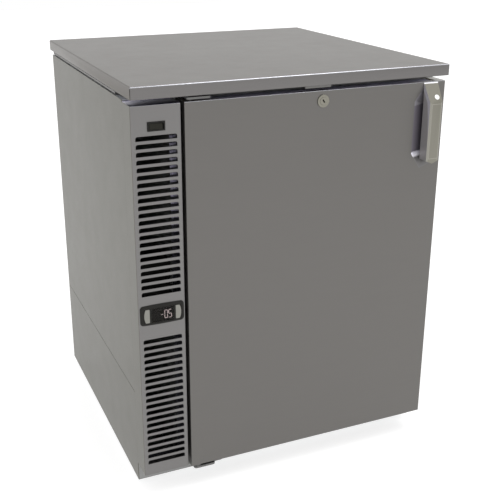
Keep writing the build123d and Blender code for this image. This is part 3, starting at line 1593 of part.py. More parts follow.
shroud_right_x = condenser_right_x + shroud_sheet
fan_hole_radius = condenser_fan_radius + condenser_fan_gap
with BuildPart() as condenser_shroud:
    block((condenser_right_x, shroud_right_x), condenser_span_y, (pan_top_z, bay_top_z - shroud_top_gap))
    rod(
        (shroud_right_x, condenser_middle_y, condenser_middle_z),
        (shroud_right_x + shroud_ring_depth, condenser_middle_y, condenser_middle_z),
        fan_hole_radius + shroud_sheet,
    )
    rod(
        (condenser_right_x, condenser_middle_y, condenser_middle_z),
        (shroud_right_x + shroud_ring_depth, condenser_middle_y, condenser_middle_z),
        fan_hole_radius,
        Mode.SUBTRACT,
    )
condenser_shroud.part.label = "condenser_shroud"
export_step(condenser_shroud.part, "parts/condenser_shroud.step")

condenser_blade_x = shroud_right_x + shroud_ring_depth / 2
condenser_motor_x = condenser_blade_x + condenser_fan_depth / 2 + fan_motor_gap
with BuildPart(
    Plane(origin=(condenser_blade_x, condenser_middle_y, condenser_middle_z), z_dir=(1, 0, 0))
) as condenser_fan_blade:
    fan(condenser_fan_radius, condenser_hub_radius, condenser_fan_depth, fan_bore_radius)
condenser_fan_blade.part.label = "condenser_fan_blade"
export_step(condenser_fan_blade.part, "parts/condenser_fan_blade.step")

# Motor of the condenser fan, on a post that stands on the base pan
motor_end_x = condenser_motor_x + condenser_motor_length
with BuildPart() as condenser_fan_motor:
    rod(
        (condenser_motor_x, condenser_middle_y, condenser_middle_z),
        (motor_end_x, condenser_middle_y, condenser_middle_z),
        condenser_motor_radius,
    )
    rod(
        (condenser_blade_x - condenser_fan_depth / 2, condenser_middle_y, condenser_middle_z),
        (condenser_motor_x, condenser_middle_y, condenser_middle_z),
        fan_shaft_radius,
    )
    block(
        (motor_end_x - motor_post_inset - motor_post_thickness, motor_end_x - motor_post_inset),
        (condenser_middle_y - motor_post_width / 2, condenser_middle_y + motor_post_width / 2),
        (pan_top_z, condenser_middle_z),
    )
condenser_fan_motor.part.label = "condenser_fan_motor"
export_step(condenser_fan_motor.part, "parts/condenser_fan_motor.step")

# Compressor on four grommets, beside the condensate tray
compressor_right_x = tray_right_x - tray_width - compressor_tray_gap
compressor_x = compressor_right_x - compressor_plate_length / 2
plate_z = pan_top_z + grommet_height
shell_bottom_z = plate_z + compressor_plate_thickness
grommet_points = [
    (
        compressor_x + side_x * (compressor_plate_length / 2 - grommet_inset),
        bay_middle_y + side_y * (compressor_plate_width / 2 - grommet_inset),
    )
    for side_x in (-1, 1)
    for side_y in (-1, 1)
]
with BuildPart() as compressor:
    with BuildSketch(Plane.XY.offset(shell_bottom_z)) as shell_outline:
        with Locations((compressor_x, bay_middle_y)):
            Ellipse(compressor_half_length, compressor_half_width)
    extrude(shell_outline.sketch, amount=compressor_height)
    fillet(compressor.edges().group_by(Axis.Z)[-1], compressor_dome_radius)
    with BuildSketch(Plane.XY.offset(shell_bottom_z + compressor_seam_height)) as seam_outline:
        with Locations((compressor_x, bay_middle_y)):
            Ellipse(
                compressor_half_length + compressor_seam_width,
                compressor_half_width + compressor_seam_width,
            )
    extrude(seam_outline.sketch, amount=compressor_seam_thickness)
    block(
        (compressor_x - compressor_plate_length / 2, compressor_x + compressor_plate_length / 2),
        (bay_middle_y - compressor_plate_width / 2, bay_middle_y + compressor_plate_width / 2),
        (plate_z, shell_bottom_z),
    )
compressor.part.label = "compressor"
export_step(compressor.part, "parts/compressor.step")

with BuildPart() as compressor_grommets:
    for grommet_x, grommet_y in grommet_points:
        foot = (grommet_x, grommet_y, pan_top_z)
        head = (grommet_x, grommet_y, plate_z)
        rod(foot, head, grommet_radius)
        rod(foot, head, grommet_hole_radius, Mode.SUBTRACT)
compressor_grommets.part.label = "compressor_grommets"
export_step(compressor_grommets.part, "parts/compressor_grommets.step")

terminal_left_x = compressor_x - compressor_half_length - terminal_box_depth + terminal_box_sink
terminal_z = shell_bottom_z + terminal_box_raise
with BuildPart() as terminal_box:
    block(
        (terminal_left_x, compressor_x - compressor_half_length / 2),
        (bay_middle_y - terminal_box_width / 2, bay_middle_y + terminal_box_width / 2),
        (terminal_z, terminal_z + terminal_box_height),
    )
    with BuildSketch(Plane.XY.offset(terminal_z)) as shell_cut:
        with Locations((compressor_x, bay_middle_y)):
            Ellipse(compressor_half_length, compressor_half_width)
    extrude(shell_cut.sketch, amount=terminal_box_height, mode=Mode.SUBTRACT)
terminal_box.part.label = "terminal_box"
export_step(terminal_box.part, "parts/terminal_box.step")

# Pipes of the cooling circuit
pipe_back_y = box_back_y - condenser_margin - pipe_wall_gap
pipe_front_y = bay_front_y + condenser_margin + pipe_wall_gap
shell_top_z = shell_bottom_z + compressor_height
pipe_high_z = bay_top_z - pipe_wall_gap
discharge_start_x = compressor_x - pipe_outlet_offset
with BuildPart() as discharge_pipe:
    pipe(
        (
            (discharge_start_x, bay_middle_y, shell_top_z),
            (discharge_start_x, bay_middle_y, pipe_high_z),
            (discharge_start_x, pipe_front_y, pipe_high_z),
            (condenser_right_x + shroud_sheet, pipe_front_y, pipe_high_z),
        ),
        discharge_pipe_radius,
        pipe_bend_radius,
    )
discharge_pipe.part.label = "discharge_pipe"
export_step(discharge_pipe.part, "parts/discharge_pipe.step")

suction_start_x = compressor_x + pipe_outlet_offset
lowest_tube_z = coil_bottom_z + evaporator_coil_height / evaporator_tube_rows / 2
with BuildPart() as suction_pipe:
    pipe(
        (
            (suction_start_x, bay_middle_y, shell_top_z),
            (suction_start_x, bay_middle_y, pipe_high_z),
            (suction_start_x, pipe_back_y, pipe_high_z),
            (suction_x, pipe_back_y, pipe_high_z),
            (suction_x, drain_y, pipe_high_z),
            (suction_x, drain_y, lowest_tube_z),
        ),
        pipe_radius,
        pipe_bend_radius,
    )
suction_pipe.part.label = "suction_pipe"
export_step(suction_pipe.part, "parts/suction_pipe.step")

# Open tray that the melt water runs into
with BuildPart() as condensate_tray:
    block(
        (tray_right_x - tray_width, tray_right_x),
        (bay_middle_y - tray_depth / 2, bay_middle_y + tray_depth / 2),
        (pan_top_z, tray_top_z),
    )
    block(
        (tray_right_x - tray_width + tray_wall, tray_right_x - tray_wall),
        (bay_middle_y - tray_depth / 2 + tray_wall, bay_middle_y + tray_depth / 2 - tray_wall),
        (pan_top_z + tray_wall, tray_top_z),
        Mode.SUBTRACT,
    )
condensate_tray.part.label = "condensate_tray"
export_step(condensate_tray.part, "parts/condensate_tray.step")

# Mains inlet in the rear cover: a flange outside, a body inside and a recess with three pins
with BuildPart() as mains_inlet:
    block(
        (inlet_x - inlet_width / 2 - inlet_flange, inlet_x + inlet_width / 2 + inlet_flange),
        (body_back_y, body_back_y + inlet_flange),
        (inlet_z - inlet_height / 2 - inlet_flange, inlet_z + inlet_height / 2 + inlet_flange),
    )
    block(
        (inlet_x - inlet_width / 2, inlet_x + inlet_width / 2),
        (body_back_y - inlet_depth, body_back_y),
        (inlet_z - inlet_height / 2, inlet_z + inlet_height / 2),
    )
    block(
        (inlet_x - inlet_recess_width / 2, inlet_x + inlet_recess_width / 2),
        (body_back_y - inlet_recess_depth, body_back_y + inlet_flange),
        (inlet_z - inlet_recess_height / 2, inlet_z + inlet_recess_height / 2),
        Mode.SUBTRACT,
    )
    for pin_x in (inlet_x - inlet_pin_pitch, inlet_x, inlet_x + inlet_pin_pitch):
        rod(
            (pin_x, body_back_y - inlet_recess_depth, inlet_z),
            (pin_x, body_back_y - inlet_pin_setback, inlet_z),
            inlet_pin_radius,
        )
mains_inlet.part.label = "mains_inlet"
export_step(mains_inlet.part, "parts/mains_inlet.step")
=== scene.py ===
"""Looks of an undercounter freezer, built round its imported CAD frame. All lengths are in metres."""

import logging
import math
import random
from dataclasses import dataclass
from enum import Enum
from typing import Any, Callable, Optional, Sequence

import bmesh
import bpy
from mathutils import Matrix, Vector


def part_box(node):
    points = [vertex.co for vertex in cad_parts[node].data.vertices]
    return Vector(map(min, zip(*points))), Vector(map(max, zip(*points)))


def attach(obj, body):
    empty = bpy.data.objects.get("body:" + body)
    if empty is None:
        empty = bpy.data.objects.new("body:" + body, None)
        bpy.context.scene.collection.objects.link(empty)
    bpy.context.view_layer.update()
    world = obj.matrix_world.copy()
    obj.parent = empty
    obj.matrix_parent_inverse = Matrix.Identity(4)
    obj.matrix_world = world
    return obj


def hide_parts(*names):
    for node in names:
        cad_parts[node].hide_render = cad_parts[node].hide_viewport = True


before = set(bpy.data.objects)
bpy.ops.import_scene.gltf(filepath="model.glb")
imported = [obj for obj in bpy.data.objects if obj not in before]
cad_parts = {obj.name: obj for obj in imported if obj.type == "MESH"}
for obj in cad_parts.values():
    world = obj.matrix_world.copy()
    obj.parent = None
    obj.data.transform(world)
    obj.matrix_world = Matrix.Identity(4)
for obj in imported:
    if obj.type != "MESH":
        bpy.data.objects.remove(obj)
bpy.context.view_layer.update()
LOG = logging.getLogger("freezer")
MM = 0.001
SHARP_ANGLE = 35.0
SAME_PLACE = 1e-6

Colour = tuple[float, float, float]
Point = tuple[float, float, float]
Values = Optional[dict[Any, Any]]
Obj = bpy.types.Object
Mesh = bmesh.types.BMesh
Widths = Callable[[Vector], float]


# Node helpers


class Signal:
    """A value socket whose Python arithmetic adds Math nodes."""

    def __init__(self, tree: bpy.types.NodeTree, socket: Any) -> None:
        """Wraps a socket.

        Args:
            tree: the node tree that the socket belongs to.
            socket: an output socket that carries a number.
        """
        self.tree = tree
        self.socket = socket

    def _math(self, operation: str, *terms: Any) -> "Signal":
        """Adds one Math node.

        Args:
            operation: the Math node's operation.
            terms: its inputs, numbers or signals, in order.

        Returns:
            The node's result.
        """
        node = add_node(self.tree, "ShaderNodeMath", {"operation": operation}, dict(enumerate(terms)))
        return Signal(self.tree, node.outputs[0])

    def __add__(self, other: Any) -> "Signal":
        """Sum."""
        return self._math("ADD", self, other)

    def __radd__(self, other: Any) -> "Signal":
        """Sum with a number on the left."""
        return self._math("ADD", other, self)

    def __sub__(self, other: Any) -> "Signal":
        """Difference."""
        return self._math("SUBTRACT", self, other)

    def __rsub__(self, other: Any) -> "Signal":
        """Difference from a number on the left."""
        return self._math("SUBTRACT", other, self)

    def __mul__(self, other: Any) -> "Signal":
        """Product."""
        return self._math("MULTIPLY", self, other)

    def __rmul__(self, other: Any) -> "Signal":
        """Product with a number on the left."""
        return self._math("MULTIPLY", other, self)

    def __truediv__(self, other: Any) -> "Signal":
        """Quotient."""
        return self._math("DIVIDE", self, other)

    def __rtruediv__(self, other: Any) -> "Signal":
        """Quotient with a number on top."""
        return self._math("DIVIDE", other, self)

    def __pow__(self, other: Any) -> "Signal":
        """Power."""
        return self._math("POWER", self, other)

    def __gt__(self, other: Any) -> "Signal":
        """One where this is greater, else nought."""
        return self._math("GREATER_THAN", self, other)

    def __lt__(self, other: Any) -> "Signal":
        """One where this is less, else nought."""
        return self._math("LESS_THAN", self, other)

    def clamped(self) -> "Signal":
        """The signal kept between nought and one."""
        return self._math("MINIMUM", self._math("MAXIMUM", self, 0.0), 1.0)

    def wrapped(self) -> "Signal":
        """The signal's part after the point."""
        return self._math("FRACT", self)


def add_node(tree: bpy.types.NodeTree, kind: str, settings: Values = None,
             values: Values = None) -> bpy.types.Node:
    """Adds a node, gives it its settings first, then its socket values or links.

    Args:
        tree: the shader or geometry tree.
        kind: the node's type name.
        settings: attributes of the node, set before its sockets are read.
        values: numbers, vectors, sockets or signals by socket name or index.

    Returns:
        The new node.
    """
    node = tree.nodes.new(kind)
    for name, value in (settings or {}).items():
        if name == "stops":
            ramp = node.color_ramp
            for index, (place, shade) in enumerate(value):
                stop = ramp.elements[index] if index < 2 else ramp.elements.new(place)
                stop.position = place
                stop.color = (*shade, 1.0) if isinstance(shade, tuple) else (shade, shade, shade, 1.0)
        else:
            setattr(node, name, value)
    for key, value in (values or {}).items():
        if isinstance(value, Signal):
            value = value.socket
        if isinstance(value, bpy.types.NodeSocket):
            tree.links.new(value, node.inputs[key])
        else:
            node.inputs[key].default_value = value
    return node


class Grain(Enum):
    """The way a sheet was brushed."""

    ALONG_X = (0.06, 1.0, 1.0)
    ALONG_Y = (1.0, 0.06, 1.0)
    ALONG_Z = (1.0, 1.0, 0.06)


class NodeBench:
    """A node tree being made."""

    tree: bpy.types.NodeTree

    def node(self, kind: str, settings: Values = None, values: Values = None) -> bpy.types.Node:
        """Adds a node to this tree, as add_node does."""
        return add_node(self.tree, kind, settings, values)

    def out(self, kind: str, settings: Values = None, values: Values = None, output: Any = 0) -> Any:
        """Adds a node and returns one of its outputs."""
        return self.node(kind, settings, values).outputs[output]


class ShaderBench(NodeBench):
    """A material being made: its tree, its shader and its Object coordinates."""

    def __init__(self, name: str, **constants: Any) -> None:
        """Starts a material with a Principled shader.

        Args:
            name: the material's name.
            constants: values for the shader's own sockets, with _ for a space in a name.
        """
        self.material = bpy.data.materials.new(name)
        self.material.use_nodes = True
        self.tree = self.material.node_tree
        self.shader = self.tree.nodes["Principled BSDF"]
        for key, value in constants.items():
            self.shader.inputs[key.replace("_", " ")].default_value = value
        self.place = self.node("ShaderNodeTexCoord").outputs["Object"]

    def stretched(self, scale: Sequence[float]) -> Any:
        """The Object coordinates multiplied by a scale for each axis."""
        values = {"Vector": self.place, "Scale": tuple(scale)}
        return self.out("ShaderNodeMapping", {"vector_type": "POINT"}, values, "Vector")

    def drawn(self, grain: Grain, scale: float = 900.0) -> Signal:
        """Noise drawn out along a sheet's grain."""
        return self.noise(scale, 2.0, self.stretched(grain.value))

    def noise(self, scale: float, detail: float = 2.0, place: Any = None, rough: float = 0.5) -> Signal:
        """Smooth noise around one half.

        Args:
            scale: bumps per metre.
            detail: octaves.
            place: coordinates, by default the Object ones.
            rough: share of each next octave.

        Returns:
            The noise.
        """
        values = {"Vector": place or self.place, "Scale": scale, "Detail": detail, "Roughness": rough}
        return Signal(self.tree, self.out("ShaderNodeTexNoise", {"noise_dimensions": "3D"}, values, "Fac"))

    def cells(self, scale: float, output: str = "Distance") -> Signal:
        """Voronoi cells, read as the named output."""
        values = {"Vector": self.place, "Scale": scale}
        return Signal(self.tree, self.out("ShaderNodeTexVoronoi", None, values, output))

    def axes(self) -> tuple[Signal, Signal, Signal]:
        """The Object coordinates as three signals."""
        parts = self.node("ShaderNodeSeparateXYZ", None, {0: self.place}).outputs
        return tuple(Signal(self.tree, parts[axis]) for axis in "XYZ")

    def blend(self, share: Any, first: Any, second: Any) -> Any:
        """A colour between two colours.

        Args:
            share: nought for the first, one for the second.
            first: a colour or a colour socket.
            second: a colour or a colour socket.

        Returns:
            The mixed colour's socket.
        """
        def rgba(value: Any) -> Any:
            """A colour with its alpha, or the socket as it is."""
            return (*value, 1.0) if isinstance(value, tuple) else value

        values = {"Factor": share, 6: rgba(first), 7: rgba(second)}
        return self.out("ShaderNodeMix", {"data_type": "RGBA"}, values, 2)

    def tint(self, colour: Any) -> None:
        """Feeds the base colour."""
        self.tree.links.new(colour, self.shader.inputs["Base Color"])

    def roughen(self, signal: Signal) -> None:
        """Feeds the roughness."""
        self.tree.links.new(signal.socket, self.shader.inputs["Roughness"])

    def bump(self, height: Signal, depth: float, strength: float = 1.0) -> None:
        """Feeds the normal through a Bump node.

        Args:
            height: the height signal.
            depth: metres for a height of one.
            strength: share of the bump.
        """
        node = self.node("ShaderNodeBump", None, {"Height": height, "Distance": depth, "Strength": strength})
        self.tree.links.new(node.outputs["Normal"], self.shader.inputs["Normal"])


# Finishes


@dataclass(frozen=True)
class Coat:
    """What the finishes share: a material's name and its main colour."""

    name: str
    colour: Colour

    def shade(self, factor: float) -> Colour:
        """The main colour made darker or paler."""
        return tuple(channel * factor for channel in self.colour)


@dataclass(frozen=True)
class BrushedSteel(Coat):
    """Stainless sheet with fine grain, faint cloudiness and a little handling wear."""

    grain: Grain = Grain.ALONG_X
    roughness: float = 0.36
    metallic: float = 0.82
    contrast: float = 0.05

    def make(self) -> bpy.types.Material:
        """Builds the material.

        Returns:
            The material.
        """
        bench = ShaderBench(self.name, Metallic=self.metallic, Specular_IOR_Level=0.5)
        fine = bench.noise(1500.0, 2.0, bench.stretched(self.grain.value), 0.6)
        broad = bench.noise(190.0, 3.0, bench.stretched(self.grain.value), 0.6)
        cloud = bench.noise(5.5, 3.0)
        smear = bench.noise(23.0, 4.0)
        light = (fine * 0.5 + broad * 0.35 + cloud * 0.15).clamped()
        bench.tint(bench.blend(light, self.shade(1.0 - self.contrast), self.shade(1.0 + self.contrast)))
        bench.roughen((fine - 0.5) * 0.10 + (smear - 0.5) * 0.05 + (cloud - 0.5) * 0.03 + self.roughness)
        bench.bump(fine * 0.7 + broad * 0.3, 0.00002, 0.4)
        return bench.material


@dataclass(frozen=True)
class ShadeToSheenSteel(Coat):
    """A steel fold with painted shade at the front that turns to a painted pale reflection towards the back.
    """

    far: Colour
    near_y: float
    far_y: float

    def make(self) -> bpy.types.Material:
        """Builds the material.

        Returns:
            The material.
        """
        bench = ShaderBench(self.name, Metallic=0.2)
        depth = bench.axes()[1]
        grain = bench.drawn(Grain.ALONG_X)
        # The near colour is painted shade, the far one a painted reflection.
        share = ((depth - self.near_y) / (self.far_y - self.near_y)).clamped()
        bench.tint(bench.blend((share * (grain * 0.2 + 0.9)).clamped(), self.colour, self.far))
        bench.roughen(grain * 0.1 + 0.3)
        return bench.material


@dataclass(frozen=True)
class SlotLitSteel(Coat):
    """Steel behind the cover, with bands of painted light behind the upper slots at one fixed slope, on
    painted shade between them.
    """

    dark: Colour
    plain: Colour
    front: float
    right: float
    pitch: float
    share: float
    start: float
    foot: float
    bottom: float
    slope: float = 0.32
    fade_from: float = 0.019
    fade_over: float = 0.008

    def make(self) -> bpy.types.Material:
        """Builds the material.

        Returns:
            The material.
        """
        bench = ShaderBench(self.name, Metallic=0.3)
        across, depth, height = bench.axes()
        depth = depth - self.front
        grain = bench.drawn(Grain.ALONG_Z)
        phase = ((height - self.start + depth * self.slope) / self.pitch).wrapped()
        fade = ((depth - self.fade_from) / self.fade_over).clamped()
        # The bands are painted light; between them the dark colour is painted shade.
        band = (phase < self.share) * (height > self.foot) * fade * (grain * 0.3 + 0.8)
        open_air = ((across > self.right) + (height < self.bottom)).clamped()
        bench.tint(bench.blend(open_air, bench.blend(band, self.dark, self.colour), self.plain))
        bench.roughen(grain * 0.1 + 0.35)
        return bench.material


@dataclass(frozen=True)
class WallSteel(Coat):
    """The handle's side wall, with a painted highlight: a paler strip that follows its front edge and narrows
    downwards.
    """

    strip: Colour
    front: float
    bend: float
    foot: float
    slope: float
    width: float

    def make(self) -> bpy.types.Material:
        """Builds the material.

        Returns:
            The material.
        """
        bench = ShaderBench(self.name, Metallic=0.3)
        _, depth, height = bench.axes()
        grain = bench.drawn(Grain.ALONG_Z)
        edge = (height > self.bend) * (height - self.bend) * self.slope + self.front
        reach = ((height - self.foot) / (self.bend - self.foot)).clamped() ** 2.0 * self.width
        # The paler strip is a painted highlight.
        bench.tint(bench.blend((depth - edge < reach) * (grain * 0.2 + 0.85), self.colour, self.strip))
        bench.roughen(grain * 0.1 + 0.35)
        return bench.material


@dataclass(frozen=True)
class BandedSteel:
    """A pressed form, painted with bands of shade and highlight that change with height."""

    name: str
    foot: float
    head: float
    stops: tuple[tuple[float, Colour], ...]

    def make(self) -> bpy.types.Material:
        """Builds the material.

        Returns:
            The material.
        """
        bench = ShaderBench(self.name, Metallic=0.25)
        height = bench.axes()[2]
        grain = bench.drawn(Grain.ALONG_X)
        share = (height - self.foot + (grain - 0.5) * 0.001) / (self.head - self.foot)
        places = [((place - self.foot) / (self.head - self.foot), shade) for place, shade in self.stops]
        ramp = bench.node("ShaderNodeValToRGB", {"stops": places}, {"Fac": share})
        bench.tint(ramp.outputs["Color"])
        bench.roughen(grain * 0.1 + 0.35)
        return bench.material


@dataclass(frozen=True)
class FramedSteel(Coat):
    """The handle's front, with a painted highlight as a fine pale line round its grip and a painted glint
    along its top edge.
    """

    line: Colour
    left: float
    right: float
    foot: float
    head: float
    width: float
    glint: float
    glint_colour: Colour

    def make(self) -> bpy.types.Material:
        """Builds the material.

        Returns:
            The material.
        """
        bench = ShaderBench(self.name, Metallic=0.82)
        across, _, height = bench.axes()
        grain = bench.drawn(Grain.ALONG_Z, 1500.0)

        def inside(margin: float) -> Signal:
            """One inside the grip's outline drawn in by the margin, else nought."""
            wide = (across > self.left + margin) * (across < self.right - margin)
            return wide * (height > self.foot + margin) * (height < self.head - margin)

        # A painted highlight line round the grip, and a painted glint along the top edge.
        line = inside(0.0) - inside(self.width)
        face = bench.blend(line * 0.8 + (grain - 0.5) * 0.3, self.colour, self.line)
        bench.tint(bench.blend(height > self.glint, face, self.glint_colour))
        bench.roughen((grain - 0.5) * 0.10 + 0.34)
        bench.bump(grain, 0.00002, 0.4)
        return bench.material


@dataclass(frozen=True)
class GalvanisedSteel(Coat):
    """Zinc-coated sheet with its flat crystals."""

    roughness: float = 0.42

    def make(self) -> bpy.types.Material:
        """Builds the material.

        Returns:
            The material.
        """
        bench = ShaderBench(self.name, Metallic=0.85)
        crystals = bench.cells(95.0, "Color")
        small = bench.cells(240.0, "Color")
        dust = bench.noise(14.0, 3.0)
        shade = (crystals * 0.5 + small * 0.3 + dust * 0.2).clamped()
        bench.tint(bench.blend(shade, self.shade(0.80), self.shade(1.15)))
        bench.roughen((crystals - 0.5) * 0.16 + dust * 0.08 + self.roughness)
        bench.bump(small, 0.00003, 0.4)
        return bench.material


@dataclass(frozen=True)
class BareMetal(Coat):
    """Turned, plated or drawn metal with fine marks from its making."""

    roughness: float = 0.22
    marks: float = 700.0
    tarnish: Colour = (0.30, 0.29, 0.27)
    tarnish_share: float = 0.25

    def make(self) -> bpy.types.Material:
        """Builds the material.

        Returns:
            The material.
        """
        bench = ShaderBench(self.name, Metallic=1.0)
        stain = bench.noise(45.0, 4.0)
        fine = bench.noise(self.marks, 3.0)
        bench.tint(bench.blend((stain - 0.35) * self.tarnish_share * 2.0, self.colour, self.tarnish))
        bench.roughen((fine - 0.5) * 0.16 + (stain - 0.5) * 0.10 + self.roughness)
        bench.bump(fine, 0.00002, 0.35)
        return bench.material


@dataclass(frozen=True)
class MouldedPlastic(Coat):
    """Injection-moulded plastic with a spark-eroded skin."""

    roughness: float = 0.45
    skin: float = 2200.0
    depth: float = 0.00002
    coat: float = 0.0
    specular: float = 0.45
    unevenness: float = 0.12

    def make(self) -> bpy.types.Material:
        """Builds the material.

        Returns:
            The material.
        """
        bench = ShaderBench(self.name, Specular_IOR_Level=self.specular, Coat_Weight=self.coat,
                            Coat_Roughness=0.12)
        grain = bench.noise(self.skin, 2.0)
        dust = bench.noise(18.0, 4.0)
        pale = tuple(min(channel * (1.0 + self.unevenness) + 0.004, 1.0) for channel in self.colour)
        bench.tint(bench.blend(dust, self.colour, pale))
        bench.roughen((dust - 0.5) * self.unevenness + (grain - 0.5) * 0.06 + self.roughness)
        bench.bump(grain, self.depth, 0.5)
        return bench.material


@dataclass(frozen=True)
class SoftRubber(Coat):
    """Extruded or moulded rubber with a bloom of dust."""

    bloom: Colour = (0.16, 0.16, 0.155)

    def make(self) -> bpy.types.Material:
        """Builds the material.

        Returns:
            The material.
        """
        bench = ShaderBench(self.name, Specular_IOR_Level=0.3)
        dust = bench.noise(60.0, 4.0)
        grain = bench.noise(900.0, 2.0)
        bench.tint(bench.blend((dust - 0.42).clamped() * 0.8, self.colour, self.bloom))
        bench.roughen(dust * 0.2 + 0.58)
        bench.bump(grain, 0.00004, 0.5)
        return bench.material


@dataclass(frozen=True)
class RigidFoam(Coat):
    """Cut insulating foam with open cells."""


    def make(self) -> bpy.types.Material:
        """Builds the material.

        Returns:
            The material.
        """
        bench = ShaderBench(self.name, Specular_IOR_Level=0.2, Roughness=0.9)
        cells = bench.cells(620.0)
        age = bench.noise(9.0, 3.0)
        bench.tint(bench.blend((cells * 0.6 + age * 0.4).clamped(), self.shade(0.72), self.colour))
        bench.bump(cells, 0.0006, 0.7)
        return bench.material


@dataclass(frozen=True)
class LitSegments(Coat):
    """Glowing segments of the display, with faint random unevenness in their brightness."""

    glow: float = 1.0

    def make(self) -> bpy.types.Material:
        """Builds the material.

        Returns:
            The material.
        """
        bench = ShaderBench(self.name, Roughness=0.5, Emission_Strength=self.glow)
        flicker = bench.noise(700.0, 1.0)
        shade = bench.blend(flicker, self.shade(0.85), self.colour)
        bench.tint(shade)
        bench.tree.links.new(shade, bench.shader.inputs["Emission Color"])
        return bench.material


@dataclass(frozen=True)
class DarkWindow(Coat):
    """The tinted pane over the display."""


    def make(self) -> bpy.types.Material:
        """Builds the material.

        Returns:
            The material.
        """
        bench = ShaderBench(self.name, Alpha=0.30, Specular_IOR_Level=0.15)
        smear = bench.noise(130.0, 3.0)
        bench.tint(bench.blend(smear, self.colour, self.shade(1.5)))
        bench.roughen(smear * 0.1 + 0.1)
        return bench.material


